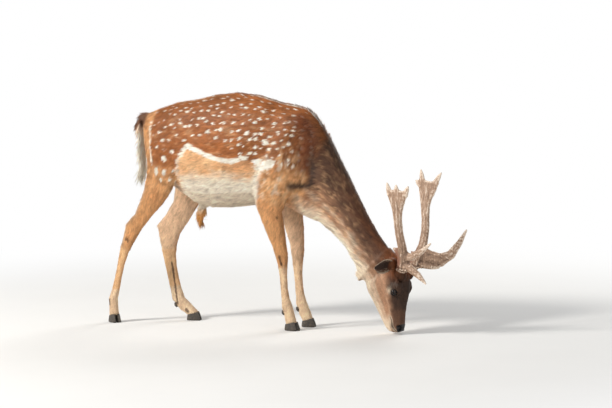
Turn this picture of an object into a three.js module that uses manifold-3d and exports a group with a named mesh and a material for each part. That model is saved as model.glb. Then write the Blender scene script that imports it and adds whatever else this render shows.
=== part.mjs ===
// A grazing fallow deer buck, life size, as a still model.
// Millimetres, +Z up, nose end towards +X, the animal's left side towards +Y, soles on Z = 0.
// Each limb is lofted through cross-sections, joined to its neighbours as one body, and parted by thin cuts.
import * as THREE from "three";
import { mergeVertices } from "three/addons/utils/BufferGeometryUtils.js";
import Module from "manifold-3d";

const wasm = await Module();
wasm.setup();

// Driving dimensions.
const CUT = 0.3; // width of every parting cut and of every clearance
const EYE_RADIUS = 14;
const CLEFT = 4.4; // width of the gap between the two claws of a foot
const HEAD_TURN = -8; // degrees about +Z, towards the animal's right
const HEAD_PIVOT = 365; // forward place of the upright axis that the head turns about
const BODY_SIDES = 20;
const LEG_SIDES = 12;
const HEAD_SIDES = 18;
const ANTLER_SIDES = 8;
const POINT_SIDES = 6;
const EYE_SEGMENTS = 10;
const SIDES = { right: -1, left: 1 };
const FORE = new THREE.Vector3(1, 0, 0);
const UP = new THREE.Vector3(0, 0, 1);

// Blocks [wide, high, deep] that take in all that lies beyond a parting cut.
const NECK_BLOCK = [1100, 300, 700];
const HEAD_BLOCK = [500, 300, 400];
const LEG_BLOCK = [700, 200, 800];
const TAIL_BLOCK = [400, 100, 90];
const SHEATH_BLOCK = [100, 80, 120];
const EAR_BLOCK = [80, 80, 160];
const BRANCH_BLOCK = [400, 400, 400];
const BURR_BLOCK = [90, 90, 40]; // below an antler's own coronet
const PEDICLE_BLOCK = [56, 56, 30]; // above the pedicle's top

// Cross-sections of the body, each from a front or upper point to a back or lower point, both [forward, up].
// half is the half width, and fullness 2 is an ellipse and more is boxier.
// lean widens the front of a section and narrows its back.

// From the rump forwards over the shoulders and down the neck to the poll.
const bodySections = [
  { front: [-698, 812], back: [-690, 752], half: 18 },
  { front: [-688, 832], back: [-680, 700], half: 46 },
  { front: [-666, 846], back: [-652, 640], half: 72, fullness: 2.1 },
  { front: [-622, 863], back: [-610, 592], half: 92, fullness: 2.2 },
  { front: [-540, 889], back: [-540, 532], half: 108, fullness: 2.2, lean: -0.04 },
  { front: [-455, 902], back: [-460, 484], half: 119, fullness: 2.2, lean: -0.08 },
  { front: [-370, 923], back: [-385, 467], half: 128, fullness: 2.15, lean: -0.1 },
  { front: [-285, 931], back: [-300, 470], half: 130, fullness: 2.15, lean: -0.1 },
  { front: [-190, 921], back: [-210, 482], half: 121, fullness: 2.15, lean: -0.1 },
  { front: [-100, 896], back: [-140, 490], half: 108, fullness: 2.1, lean: -0.1 },
  { front: [-30, 884], back: [-98, 490], half: 97, lean: -0.08 },
  { front: [16, 872], back: [-70, 482], half: 91, lean: -0.08 },
  { front: [48, 845], back: [-46, 468], half: 87, lean: -0.09 },
  { front: [76, 807], back: [-26, 458], half: 84, lean: -0.1 },
  { front: [107, 750], back: [8, 443], half: 79, lean: -0.12 },
  { front: [152, 666], back: [66, 420], half: 71, lean: -0.12 },
  { front: [206, 566], back: [121, 376], half: 61, lean: -0.1 },
  { front: [260, 466], back: [172, 322], half: 53, lean: -0.06 },
  { front: [306, 393], back: [203, 266], half: 48 },
  { front: [350, 337], back: [226, 214], half: 46 },
  { front: [388, 300], back: [262, 196], half: 41 },
];

const tailSections = [
  { front: [-672, 844], back: [-672, 800], half: 26 },
  { front: [-702, 842], back: [-698, 806], half: 25 },
  { front: [-722, 820], back: [-704, 796], half: 25 },
  { front: [-728, 770], back: [-704, 766], half: 27 },
  { front: [-726, 710], back: [-702, 708], half: 25 },
  { front: [-723, 655], back: [-701, 653], half: 18 },
  { front: [-720, 622], back: [-704, 620], half: 9 },
  { front: [-717, 600], back: [-709, 600], half: 3 },
];

const sheathSections = [
  { front: [-395, 480], back: [-452, 500], half: 20 },
  { front: [-428, 462], back: [-466, 470], half: 15 },
  { front: [-436, 436], back: [-464, 438], half: 11 },
  { front: [-442, 412], back: [-460, 412], half: 7 },
  { front: [-446, 388], back: [-452, 388], half: 2 },
];

const shoulderSections = [
  { front: [-20, 850], back: [-86, 856], y: 36, half: 18, fullness: 1.7, turn: -12 },
  { front: [26, 778], back: [-118, 784], y: 61, half: 29, fullness: 1.7, turn: -12 },
  { front: [60, 704], back: [-144, 714], y: 74, half: 34, fullness: 1.7, turn: -12 },
  { front: [68, 634], back: [-168, 648], y: 78, half: 37, fullness: 1.8, turn: -10 },
  { front: [22, 568], back: [-188, 586], y: 79, half: 37, fullness: 1.9, turn: -5 },
];

const haunchSections = [
  { front: [-545, 856], back: [-640, 842], y: 28, half: 18, fullness: 1.7, turn: 10 },
  { front: [-510, 792], back: [-684, 796], y: 62, half: 32, fullness: 1.7, turn: 11 },
  { front: [-500, 714], back: [-672, 724], y: 76, half: 37, fullness: 1.8, turn: 10 },
];

// Each leg has its sections from the top down, with y and turn in degrees both outwards from the middle.
// Its cuts are [forward, up, forward slope of the cut's facing], and part it into segments from the top down.
const legs = {
  foreleg_right: {
    sections: [
      ...shoulderSections,
      { front: [-42, 520], back: [-192, 540], y: 81, half: 31 },
      { front: [-68, 468], back: [-176, 478], y: 77, half: 27 },
      { front: [-59, 400], back: [-146, 400], y: 74, half: 23 },
      { front: [-51, 335], back: [-117, 335], y: 71, half: 19.5, turn: 4 },
      { front: [-48, 290], back: [-101, 290], y: 69, half: 20, fullness: 2.4, turn: 6 },
      { front: [-51, 252], back: [-90, 252], y: 68, half: 17, turn: 8 },
      { front: [-52, 212], back: [-84, 212], y: 67, half: 13.5, turn: 10 },
      { front: [-49, 165], back: [-80, 165], y: 66, half: 12.5, turn: 12 },
      { front: [-42, 128], back: [-78, 128], y: 65, half: 14.5, turn: 14 },
      { front: [-30, 98], back: [-77, 92], y: 64, half: 18.5, turn: 15 },
      { front: [-21, 66], back: [-68, 56], y: 63, half: 17.5, turn: 15 },
      { front: [-14, 36], back: [-60, 24], y: 62, half: 20, turn: 15 },
    ],
    cuts: { forearm: [-120, 505, 0], cannon: [-70, 256, 0], pastern: [-62, 132, 0.1] },
  },
  foreleg_left: {
    sections: [
      ...shoulderSections,
      { front: [-38, 520], back: [-188, 540], y: 81, half: 31 },
      { front: [-46, 468], back: [-156, 478], y: 77, half: 27 },
      { front: [-38, 400], back: [-124, 400], y: 74, half: 23 },
      { front: [-35, 335], back: [-99, 335], y: 71, half: 19.5 },
      { front: [-36, 290], back: [-90, 290], y: 69, half: 20, fullness: 2.4 },
      { front: [-41, 252], back: [-84, 252], y: 68, half: 17 },
      { front: [-42, 212], back: [-78, 212], y: 67, half: 13.5 },
      { front: [-39, 165], back: [-73, 165], y: 66, half: 12.5 },
      { front: [-33, 130], back: [-70, 130], y: 65, half: 14.5 },
      { front: [-22, 98], back: [-68, 92], y: 64, half: 18.5, turn: 5 },
      { front: [-8, 66], back: [-56, 54], y: 63, half: 17.5, turn: 5 },
      { front: [4, 36], back: [-38, 24], y: 62, half: 20, turn: 5 },
    ],
    cuts: { forearm: [-110, 505, 0], cannon: [-62, 256, 0], pastern: [-55, 134, 0.1] },
  },
  hindleg_right: {
    sections: [
      ...haunchSections,
      { front: [-500, 642], back: [-656, 652], y: 82, half: 37, fullness: 1.9, turn: 6 },
      { front: [-512, 586], back: [-652, 600], y: 86, half: 34 },
      { front: [-537, 538], back: [-660, 546], y: 89, half: 30 },
      { front: [-576, 485], back: [-678, 498], y: 90, half: 25 },
      { front: [-626, 432], back: [-703, 442], y: 90, half: 21, turn: 6 },
      { front: [-668, 380], back: [-743, 400], y: 90, half: 21, turn: 12, fullness: 2.3 },
      { front: [-698, 334], back: [-757, 346], y: 90, half: 20, turn: 18, fullness: 2.2 },
      { front: [-727, 284], back: [-771, 290], y: 91, half: 15.5, turn: 25 },
      { front: [-745, 235], back: [-781, 238], y: 92, half: 13, turn: 32 },
      { front: [-758, 180], back: [-793, 182], y: 93, half: 12.5, turn: 36 },
      { front: [-766, 134], back: [-805, 140], y: 94, half: 14.5, turn: 40 },
      { front: [-774, 100], back: [-821, 92], y: 95, half: 18.5, turn: 40 },
      { front: [-772, 66], back: [-819, 56], y: 96, half: 17.5, turn: 40 },
      { front: [-770, 36], back: [-816, 24], y: 97, half: 20, turn: 40 },
    ],
    cuts: { gaskin: [-600, 545, -0.35], cannon: [-736, 308, -0.3], pastern: [-786, 138, -0.1] },
  },
  hindleg_left: {
    sections: [
      ...haunchSections,
      { front: [-480, 642], back: [-643, 652], y: 82, half: 37, fullness: 1.9, turn: 6 },
      { front: [-468, 586], back: [-619, 598], y: 85, half: 34 },
      { front: [-478, 530], back: [-606, 540], y: 87, half: 30 },
      { front: [-502, 468], back: [-614, 484], y: 86, half: 25 },
      { front: [-540, 408], back: [-648, 426], y: 85, half: 21 },
      { front: [-580, 352], back: [-684, 384], y: 84, half: 21, fullness: 2.3 },
      { front: [-596, 310], back: [-674, 324], y: 83, half: 20, fullness: 2.2, turn: 3 },
      { front: [-602, 265], back: [-661, 272], y: 82, half: 15.5, turn: 5 },
      { front: [-598, 215], back: [-648, 220], y: 81, half: 13, turn: 8 },
      { front: [-588, 168], back: [-636, 172], y: 80, half: 12.5, turn: 8 },
      { front: [-577, 128], back: [-627, 132], y: 80, half: 14.5, turn: 8 },
      { front: [-563, 92], back: [-616, 82], y: 79, half: 18.5, turn: 8 },
      { front: [-530, 62], back: [-582, 42], y: 79, half: 17.5, turn: 8 },
      { front: [-502, 36], back: [-546, 22], y: 78, half: 20, turn: 8 },
    ],
    cuts: { gaskin: [-545, 520, -0.35], cannon: [-634, 290, 0.05], pastern: [-604, 138, 0.25] },
  },
};

// The head faces straight ahead here, and is turned as a whole afterwards.
const headSections = [
  { front: [378, 314], back: [318, 282], half: 26 },
  { front: [402, 294], back: [280, 240], half: 41, lean: 0.05 },
  { front: [417, 262], back: [252, 212], half: 47, lean: 0.1 },
  { front: [424, 226], back: [244, 192], half: 50, lean: 0.02, fullness: 2.2 },
  { front: [426, 190], back: [255, 166], half: 50, lean: 0.05, fullness: 2.3 },
  { front: [422, 152], back: [271, 138], half: 43, lean: 0.08, fullness: 2.2 },
  { front: [417, 116], back: [287, 108], half: 34, lean: 0.1, fullness: 2.2 },
  { front: [415, 82], back: [303, 79], half: 29.5, lean: 0.08, fullness: 2.3 },
  { front: [415, 50], back: [320, 49], half: 27.5, lean: 0.1, fullness: 2.4 },
  { front: [415, 26], back: [335, 25], half: 28, lean: 0.16, fullness: 2.6 },
  { front: [410, 12], back: [348, 12], half: 24, lean: 0.16, fullness: 2.6 },
  { front: [396, 6], back: [364, 6], half: 13 },
];

const eye = [392, 42, 170];

const ear = {
  root: [382, 46, 276],
  way: [-8, 108, 0],
  open: [0.95, 0.1, -0.35],
  length: 122,
  profile: [ // share of the length, half width, depth of the cup, thickness of its wall
    [-0.14, 15, 15, 13], [0, 18, 18, 11], [0.15, 24, 19, 7.5], [0.35, 31, 18, 5], [0.55, 31, 14, 4.2],
    [0.75, 23, 9, 3.6], [0.9, 13, 4.5, 3], [1, 4, 1.5, 1.5],
  ],
};

// Antler stations are [forward, out, up, radius, other radius].
// A beam or palm takes its first radius fore and aft, and a tine takes it upwards.
// branches names the nodes that are parted off, and what grows on each.
const antlers = {
  right: {
    beam: [
      [424, 38, 256, 25, 24], [428, 42, 268, 23, 21], [436, 52, 302, 24, 18], [440, 68, 350, 19, 14],
      [438, 88, 405, 17.5, 13], [441, 106, 455, 18, 12], [446, 118, 490, 22, 10.5],
    ],
    palm: [
      [446, 118, 490, 22, 10.5], [448, 124, 515, 30, 8.5], [450, 130, 545, 41, 7.5], [451, 134, 572, 44, 6.5],
    ],
    points: [
      [[420, 132, 555], [410, 137, 603]],
      [[450, 133, 560], [450, 138, 596]],
      [[484, 132, 552], [503, 138, 592]],
    ],
    brow: [[428, 45, 276, 20, 16], [470, 56, 266, 17, 14], [508, 63, 243, 13, 10], [544, 66, 211, 4, 4]],
    trez: [[438, 54, 312, 22, 12], [478, 62, 312, 15, 10], [528, 70, 338, 11, 8], [568, 75, 371, 3.5, 3.5]],
    rear: [[434, 56, 326, 24, 9], [416, 58, 330, 16, 7], [397, 60, 342, 4, 3]],
    branches: { palm: ["palm", "points"], brow: ["brow"], trez: ["trez"] },
  },
  left: {
    beam: [
      [425, 38, 256, 25, 24], [431, 43, 268, 22, 20], [449, 53, 308, 21, 17], [460, 68, 348, 19, 14],
      [460, 86, 395, 17.5, 13], [452, 104, 445, 17, 12], [444, 117, 488, 20, 10.5],
    ],
    palm: [
      [444, 117, 488, 20, 10.5], [443, 124, 520, 27, 8.5], [446, 131, 556, 40, 7.5], [450, 135, 590, 49, 6.5],
    ],
    points: [
      [[418, 133, 570], [391, 136, 592]],
      [[424, 134, 580], [413, 138, 636]],
      [[476, 134, 580], [504, 138, 626]],
    ],
    brow: [[430, 45, 278, 17, 14], [466, 54, 270, 14, 11], [505, 60, 262, 9, 8], [534, 64, 262, 3.5, 3.5]],
    trez: [
      [452, 54, 312, 36, 12], [490, 64, 296, 32, 11], [532, 78, 290, 28, 11], [570, 90, 312, 19, 9],
      [602, 100, 358, 12.5, 8], [630, 107, 412, 4, 4],
    ],
    rear: [[440, 52, 305, 12, 8], [426, 54, 312, 9, 6], [414, 56, 320, 3, 3]],
    branches: { palm: ["palm", "points"], trez: ["trez", "brow"] },
  },
};

// ---------------------------------------------------------------- solids

/** A closed geometry from points and triangles, turned so that its faces point out. */
function closedGeometry(points, triangles) {
  let volume = 0;
  for (const [a, b, c] of triangles) volume += points[a].dot(points[b].clone().cross(points[c]));
  const faces = volume < 0 ? triangles.map(([a, b, c]) => [a, c, b]) : triangles;
  const geometry = new THREE.BufferGeometry();
  geometry.setAttribute("position", new THREE.Float32BufferAttribute(points.flatMap((p) => p.toArray()), 3));
  geometry.setIndex(faces.flat());
  return geometry;
}

/** A three.js geometry as a manifold-3d solid. */
function solid(geometry) {
  const bare = geometry.clone();
  bare.deleteAttribute("normal");
  bare.deleteAttribute("uv");
  const merged = mergeVertices(bare, 1e-3);
  return new wasm.Manifold(new wasm.Mesh({
    numProp: 3,
    vertProperties: new Float32Array(merged.attributes.position.array),
    triVerts: new Uint32Array(merged.index.array),
  }));
}

/** A manifold-3d solid as a three.js geometry. */
function geometryOf(manifold) {
  const mesh = manifold.getMesh();
  const geometry = new THREE.BufferGeometry();
  geometry.setAttribute("position", new THREE.Float32BufferAttribute(mesh.vertProperties, 3));
  geometry.setIndex(Array.from(mesh.triVerts));
  return geometry;
}

const joined = (solids) => solids.reduce((a, b) => a.add(b));

/** Joins rings of equal length, first to last, with a fan over each end. */
function ringsGeometry(rings) {
  const sides = rings[0].length;
  const points = rings.flat();
  const triangles = [];
  for (let r = 0; r + 1 < rings.length; r++)
    for (let k = 0; k < sides; k++) {
      const [a, b] = [r * sides + k, r * sides + ((k + 1) % sides)];
      triangles.push([a, b, a + sides], [b, b + sides, a + sides]);
    }
  for (const [start, flip] of [[0, true], [(rings.length - 1) * sides, false]]) {
    const middle = new THREE.Vector3();
    for (let k = 0; k < sides; k++) middle.addScaledVector(points[start + k], 1 / sides);
    points.push(middle);
    for (let k = 0; k < sides; k++) {
      const [a, b] = [start + k, start + ((k + 1) % sides)];
      triangles.push(flip ? [b, a, points.length - 1] : [a, b, points.length - 1]);
    }
  }
  return closedGeometry(points, triangles);
}

/** The super-elliptic ring of one section, on one side of the animal. */
function sectionRing({ front, back, y = 0, half, fullness = 2, lean = 0, turn = 0 }, sides, side) {
  const power = (v) => Math.sign(v) * Math.abs(v) ** (2 / fullness);
  const spin = THREE.MathUtils.degToRad(side * turn);
  const along = new THREE.Vector3(front[0] - back[0], 0, front[1] - back[1]).divideScalar(2);
  along.applyAxisAngle(UP, spin);
  const across = new THREE.Vector3(0, half, 0).applyAxisAngle(UP, spin);
  return Array.from({ length: sides }, (_, k) => {
    const a = (2 * Math.PI * (k + 0.5)) / sides;
    return new THREE.Vector3((front[0] + back[0]) / 2, side * y, (front[1] + back[1]) / 2)
      .addScaledVector(along, power(Math.sin(a)))
      .addScaledVector(across, power(Math.cos(a)) * (1 + lean * power(Math.sin(a))));
  });
}

/** A body part lofted through its sections, which `side` mirrors. */
function bodyLoft(sections, sides, side = 1) {
  return solid(ringsGeometry(sections.map((section) => sectionRing(section, sides, side))));
}

/** An ellipsoid, tilted by degrees about the crosswise axis. */
function ellipsoid(at, radii, tilt = 0, segments = 8) {
  const geometry = new THREE.SphereGeometry(1, segments, Math.round(segments * 0.6));
  geometry.scale(...radii).rotateY(THREE.MathUtils.degToRad(tilt)).translate(...at);
  return solid(geometry);
}

/** A rod through stations, whose first radius lies as near as it can to `flat`. */
function rod(stations, flat, sides) {
  const at = stations.map((station) => new THREE.Vector3(...station.slice(0, 3)));
  return solid(ringsGeometry(stations.map((station, i) => {
    const way = at[Math.min(i + 1, at.length - 1)].clone().sub(at[Math.max(i - 1, 0)]).normalize();
    const thin = way.clone().cross(flat).normalize();
    const wide = thin.clone().cross(way);
    return Array.from({ length: sides }, (_, k) => {
      const a = (2 * Math.PI * k) / sides;
      return at[i].clone()
        .addScaledVector(wide, station[3] * Math.cos(a))
        .addScaledVector(thin, station[4] * Math.sin(a));
    });
  })));
}

/** A plane at `at` facing `way`, with a block of [wide, high, deep] beyond it, that parts a solid in two. */
class Parting {
  constructor(at, way, size) {
    Object.assign(this, { at, way: way.clone().normalize(), size });
  }
  block(clearance) {
    const [wide, high, deep] = this.size;
    const geometry = new THREE.BoxGeometry(wide, high, deep).translate(0, 0, deep / 2 + clearance);
    geometry.applyQuaternion(new THREE.Quaternion().setFromUnitVectors(UP, this.way));
    return solid(geometry.translate(...this.at));
  }
  beyond(whole) {
    return whole.intersect(this.block(CUT / 2));
  }
  before(whole) {
    return whole.subtract(this.block(-CUT / 2));
  }
}

/** The parting across a rod, at a share of the way between its first two stations. */
function crossing(stations, share, size, sense = 1) {
  const [from, to] = stations.slice(0, 2).map((row) => new THREE.Vector3(...row.slice(0, 3)));
  return new Parting(from.clone().lerp(to, share), to.sub(from).multiplyScalar(sense), size);
}

// ---------------------------------------------------------------- legs and feet

/** One claw: a wedge-shaped horn shoe with a flat sole, under a pastern's last section. */
function claw({ front, back, y, half, turn = 0 }, side, inner) {
  const reach = (front[0] - back[0]) / 2;
  const slope = (front[1] - back[1]) / (2 * reach);
  const levels = [ // share of the height, added toe, added heel, share of the width
    [1, 0, 0, 0.96], [0.5, 7, 1.5, 1.04], [0.12, 12, 2, 1.08], [0, 11, 0, 1],
  ];
  const points = 10;
  const rings = levels.map(([share, toe, heel, wide]) => Array.from({ length: points }, (_, k) => {
    const a = (2 * Math.PI * k) / points;
    const x = Math.cos(a) * (reach + (Math.cos(a) > 0 ? toe : heel));
    const taper = Math.cos(a) > 0 ? 1 - 0.4 * Math.cos(a) ** 2 : 1;
    const across = (half - CLEFT / 2) * wide * 0.5 * (1 + Math.sin(a) * taper) + CLEFT / 2;
    return new THREE.Vector3(x, inner * across, share * (front[1] - CUT + slope * (x - reach)));
  }));
  const geometry = ringsGeometry(rings).rotateZ(THREE.MathUtils.degToRad(side * turn));
  return solid(geometry.translate((front[0] + back[0]) / 2, side * y, 0));
}

/** One of the two dewclaws behind a fetlock, larger all round by `grow`. */
function dewclaw({ front, back, y, turn = 0 }, side, inner, grow) {
  const geometry = new THREE.SphereGeometry(1, 6, 4).scale(7 + grow, 7 + grow, 12 + grow);
  geometry.rotateY(THREE.MathUtils.degToRad(-24)).translate(2 - (front[0] - back[0]) / 2, inner * 10, -16);
  geometry.rotateZ(THREE.MathUtils.degToRad(side * turn));
  return solid(geometry.translate((front[0] + back[0]) / 2, side * y, back[1]));
}

/** One leg as {root, segments, horn}: its root belongs to the trunk. */
function legPieces(name) {
  const side = SIDES[name.split("_")[1]];
  const { sections, cuts } = legs[name];
  const [fetlock, pastern] = [sections.at(-3), sections.at(-1)];
  const segments = {};
  let rest = bodyLoft(sections, LEG_SIDES, side);
  let above = "root";
  for (const [segment, [x, z, slope]] of Object.entries(cuts)) {
    const middle = new THREE.Vector3(x, side * pastern.y, z);
    const cut = new Parting(middle, new THREE.Vector3(slope, 0, -1), LEG_BLOCK);
    segments[above] = cut.before(rest);
    rest = cut.beyond(rest);
    above = `${name}_${segment}`;
  }
  segments[above] = rest;
  const horn = {};
  for (const [place, inner] of Object.entries({ inner: -side, outer: side })) {
    segments[above] = segments[above].subtract(dewclaw(fetlock, side, inner, CUT));
    horn[`${name}_dewclaw_${place}`] = dewclaw(fetlock, side, inner, 0);
    horn[`${name}_hoof_${place}`] = claw(pastern, side, inner);
  }
  const { root, ...flesh } = segments;
  return { root, flesh, horn };
}

// ---------------------------------------------------------------- head and antlers

/** The skull with brow ridges, ear roots and pedicles, less the nostrils. */
function headForm() {
  const forms = [bodyLoft(headSections, HEAD_SIDES)];
  const hollows = [];
  for (const s of Object.values(SIDES)) {
    forms.push(
      ellipsoid([394, 33 * s, 182], [27, 20, 34], 10), // brow ridge over the eye
      ellipsoid([382, 38 * s, 274], [23, 21, 26]), // ear root
      rod([[404, 26 * s, 224, 19, 18], [425, 38 * s, 258, 18, 17]], FORE, ANTLER_SIDES), // pedicle
    );
    hollows.push(ellipsoid([407, 22 * s, 22], [10, 7, 5], 30, 6)); // nostril
  }
  return joined(forms).subtract(joined(hollows));
}

/** One cupped ear, grown along `way` from inside the head, with its hollow facing `open`. */
function earShell(side) {
  const mirrored = ([x, y, z]) => new THREE.Vector3(x, side * y, z);
  const [root, way, open] = [ear.root, ear.way, ear.open].map(mirrored);
  const axis = way.normalize();
  const hollow = open.addScaledVector(axis, -open.dot(axis)).normalize();
  const across = axis.clone().cross(hollow);
  const points = 6;
  return solid(ringsGeometry(ear.profile.map(([share, half, depth, wall]) => {
    const arc = (inset, sense) => Array.from({ length: points }, (_, k) => {
      const a = sense * 0.96 * Math.PI * (k / (points - 1) - 0.5);
      return root.clone()
        .addScaledVector(axis, share * ear.length)
        .addScaledVector(across, (half - inset * 0.6) * Math.sin(a))
        .addScaledVector(hollow, depth * 0.5 - (depth - inset) * Math.cos(a));
    });
    return [...arc(0, 1), ...arc(wall, -1)];
  })));
}

/** One antler as named solids, parted at its main forks and level with the coronet. */
function antlerPieces(name) {
  const spec = antlers[name];
  const placed = (stations) => stations.map(([x, y, ...rest]) => [x, SIDES[name] * y, ...rest]);
  const points = spec.points.map(([root, tip]) => {
    const waist = root.map((v, k) => v + 0.6 * (tip[k] - v));
    return rod(placed([[...root, 14, 6.5], [...waist, 10, 5.5], [...tip, 3, 2.5]]), FORE, POINT_SIDES);
  });
  const grown = {
    beam: rod(placed(spec.beam), FORE, ANTLER_SIDES),
    palm: rod(placed(spec.palm), FORE, ANTLER_SIDES),
    points: joined(points),
    brow: rod(placed(spec.brow), UP, ANTLER_SIDES),
    trez: rod(placed(spec.trez), UP, ANTLER_SIDES),
    rear: rod(placed(spec.rear), UP, ANTLER_SIDES),
  };
  const pieces = {};
  let stem = grown.beam.add(grown.rear);
  for (const [branch, members] of Object.entries(spec.branches)) {
    const whole = joined(members.map((member) => grown[member]));
    const cut = crossing(placed(spec[branch]), branch === "palm" ? 0.1 : 0.7, BRANCH_BLOCK);
    pieces[`antler_${name}_${branch}`] = cut.beyond(whole);
    stem = stem.add(cut.before(whole));
  }
  pieces[`antler_${name}_beam`] = crossing(placed(spec.beam), 0, BURR_BLOCK, -1).before(stem);
  return pieces;
}

const HEAD_TO_WORLD = new THREE.Matrix4().makeTranslation(HEAD_PIVOT, 0, 0)
  .multiply(new THREE.Matrix4().makeRotationZ(THREE.MathUtils.degToRad(HEAD_TURN)))
  .multiply(new THREE.Matrix4().makeTranslation(-HEAD_PIVOT, 0, 0));

/** The turned head as {head, flesh, horn}: the head itself isn't parted from the neck yet. */
function headPieces() {
  const turned = (whole) => solid(geometryOf(whole).applyMatrix4(HEAD_TO_WORLD));
  const flesh = {};
  const horn = {};
  let head = headForm();
  for (const [name, s] of Object.entries(SIDES)) {
    head = head.add(earShell(s));
    const [root, way] = [ear.root, ear.way].map(([x, y, z]) => new THREE.Vector3(x, s * y, z));
    const cut = new Parting(root.addScaledVector(way.clone().normalize(), 12), way, EAR_BLOCK);
    flesh[`ear_${name}`] = turned(cut.beyond(head));
    head = cut.before(head);
    for (const [piece, whole] of Object.entries(antlerPieces(name))) horn[piece] = turned(whole);
    const coronet = antlers[name].beam.map(([x, y, ...rest]) => [x, s * y, ...rest]);
    head = crossing(coronet, 0, PEDICLE_BLOCK).before(head);
    const centre = [eye[0], s * eye[1], eye[2]];
    head = head.subtract(ellipsoid(centre, Array(3).fill(EYE_RADIUS + CUT), 0, EYE_SEGMENTS));
    horn[`eye_${name}`] = turned(ellipsoid(centre, Array(3).fill(EYE_RADIUS), 0, EYE_SEGMENTS));
  }
  return { head: turned(head), flesh, horn };
}

// ---------------------------------------------------------------- whole animal

/** Every node of the animal as a named solid. */
function deerPieces() {
  const cutAt = ([x, z], [wayX, wayZ], block) =>
    new Parting(new THREE.Vector3(x, 0, z), new THREE.Vector3(wayX, 0, wayZ), block);
  const tailCut = cutAt([-700.5, 760], [-1, 0], TAIL_BLOCK);
  const sheathCut = cutAt([-445, 460], [0, -1], SHEATH_BLOCK);
  const neckCut = cutAt([64, 640], [0.94, -0.34], NECK_BLOCK);
  const headCut = cutAt([290, 272], [0.71, -0.7], HEAD_BLOCK);
  const tail = bodyLoft(tailSections, LEG_SIDES);
  const sheath = bodyLoft(sheathSections, ANTLER_SIDES);
  const larynx = ellipsoid([226, 0, 219], [24, 19, 30], 25);
  const legParts = Object.keys(legs).map(legPieces);
  const { head, flesh, horn } = headPieces();
  let body = joined([
    bodyLoft(bodySections, BODY_SIDES),
    larynx,
    head,
    tailCut.before(tail),
    sheathCut.before(sheath),
    ...legParts.map(({ root }) => root),
  ]);
  const headPart = headCut.beyond(body);
  body = headCut.before(body);
  return {
    trunk: neckCut.before(body),
    neck: neckCut.beyond(body),
    head: headPart,
    tail: tailCut.beyond(tail),
    sheath: sheathCut.beyond(sheath),
    ...flesh,
    ...horn,
    ...Object.assign({}, ...legParts.map((leg) => ({ ...leg.flesh, ...leg.horn }))),
  };
}

// Colour, roughness and metalness by the start or a word of a node's name, the first that fits.
const looks = [
  [/^eye/, 0x120c08, 0.08],
  [/hoof|dewclaw/, 0x1d1a18, 0.45],
  [/^antler/, 0xb9a58c, 0.7],
  [/^tail/, 0x4a372b, 0.95],
  [/^sheath/, 0xb9854a, 0.95],
  [/^ear|^head/, 0x8a6a50, 0.95],
  [/^neck/, 0x9a6d4a, 0.95],
  [/leg/, 0xc39a6c, 0.95],
  [/trunk/, 0xa65f31, 0.95],
];

function material(name) {
  const [, color, roughness] = looks.find(([pattern]) => pattern.test(name));
  return new THREE.MeshStandardMaterial({ color, roughness, metalness: 0, flatShading: true });
}

const deer = new THREE.Group();
for (const [name, whole] of Object.entries(deerPieces())) {
  const mesh = new THREE.Mesh(geometryOf(whole), material(name));
  mesh.geometry.computeVertexNormals();
  mesh.name = name;
  deer.add(mesh);
}
const middle = new THREE.Box3().setFromObject(deer).getCenter(new THREE.Vector3());
deer.position.set(-middle.x, -middle.y, 0); // the origin is under the middle of the animal

export default deer;
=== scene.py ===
"""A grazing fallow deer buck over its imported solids: one skin, a coat of joined tufts, horn and eyes."""

import itertools
import math

import bmesh
import bpy
import numpy as np
from bpy.props import FloatProperty, FloatVectorProperty, IntProperty, PointerProperty
from mathutils import Matrix, Vector
from mathutils.bvhtree import BVHTree
from mathutils.kdtree import KDTree


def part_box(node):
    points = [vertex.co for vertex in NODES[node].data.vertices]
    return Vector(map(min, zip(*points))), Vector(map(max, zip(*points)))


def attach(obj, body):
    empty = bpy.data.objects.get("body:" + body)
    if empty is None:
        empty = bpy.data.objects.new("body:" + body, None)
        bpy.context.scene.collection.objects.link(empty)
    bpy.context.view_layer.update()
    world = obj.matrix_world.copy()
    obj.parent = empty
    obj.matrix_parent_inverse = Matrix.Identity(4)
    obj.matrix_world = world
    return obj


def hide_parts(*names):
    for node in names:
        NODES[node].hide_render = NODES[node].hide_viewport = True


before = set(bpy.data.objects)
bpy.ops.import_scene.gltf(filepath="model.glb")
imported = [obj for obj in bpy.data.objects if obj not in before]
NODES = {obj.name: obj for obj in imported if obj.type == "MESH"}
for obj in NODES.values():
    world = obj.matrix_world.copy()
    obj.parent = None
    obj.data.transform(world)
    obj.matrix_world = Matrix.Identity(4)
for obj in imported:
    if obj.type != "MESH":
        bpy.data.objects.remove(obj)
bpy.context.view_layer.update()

bl_info = {
    "name": "Fallow Deer Buck",
    "version": (1, 0, 0),
    "blender": (4, 5, 0),
    "location": "3D View > Sidebar > Deer",
    "description": "Builds a grazing fallow deer buck in its summer coat",
    "category": "Object",
}

NOT_FLESH = ("eye", "antler", "hoof", "dewclaw")
FLESH = sorted(name for name in NODES if not any(part in name for part in NOT_FLESH))
# How far each dewclaw is drawn forward and down into the hair, in metres.
DEWCLAW_SEAT = {node: Vector((0.017 if node.startswith("hindleg_left") else 0.008, 0, -0.006))
                for node in sorted(NODES) if "dewclaw" in node}
LEGS = ("foreleg_right", "foreleg_left", "hindleg_right", "hindleg_left")
REGIONS = ("trunk", "neck", "head", "ear", "tail", "sheath", "upper", "cannon", "pastern")

# Marks and forms are placed in the animal's own frame, in millimetres: forward, to its left, and up from the
# floor, from a point 700.35 mm in front of the rump and on the middle plane.
TRUNK_LOW, TRUNK_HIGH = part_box("trunk")
ORIGIN = np.array([TRUNK_LOW.x + 0.70035, (TRUNK_LOW.y + TRUNK_HIGH.y) / 2, 0.0])
HEAD_TURN = math.radians(-8)
HEAD_PIVOT = np.array([365.0, 0.0, 0.0])
EYE_BALL = 14.0  # radius of an eyeball

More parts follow.
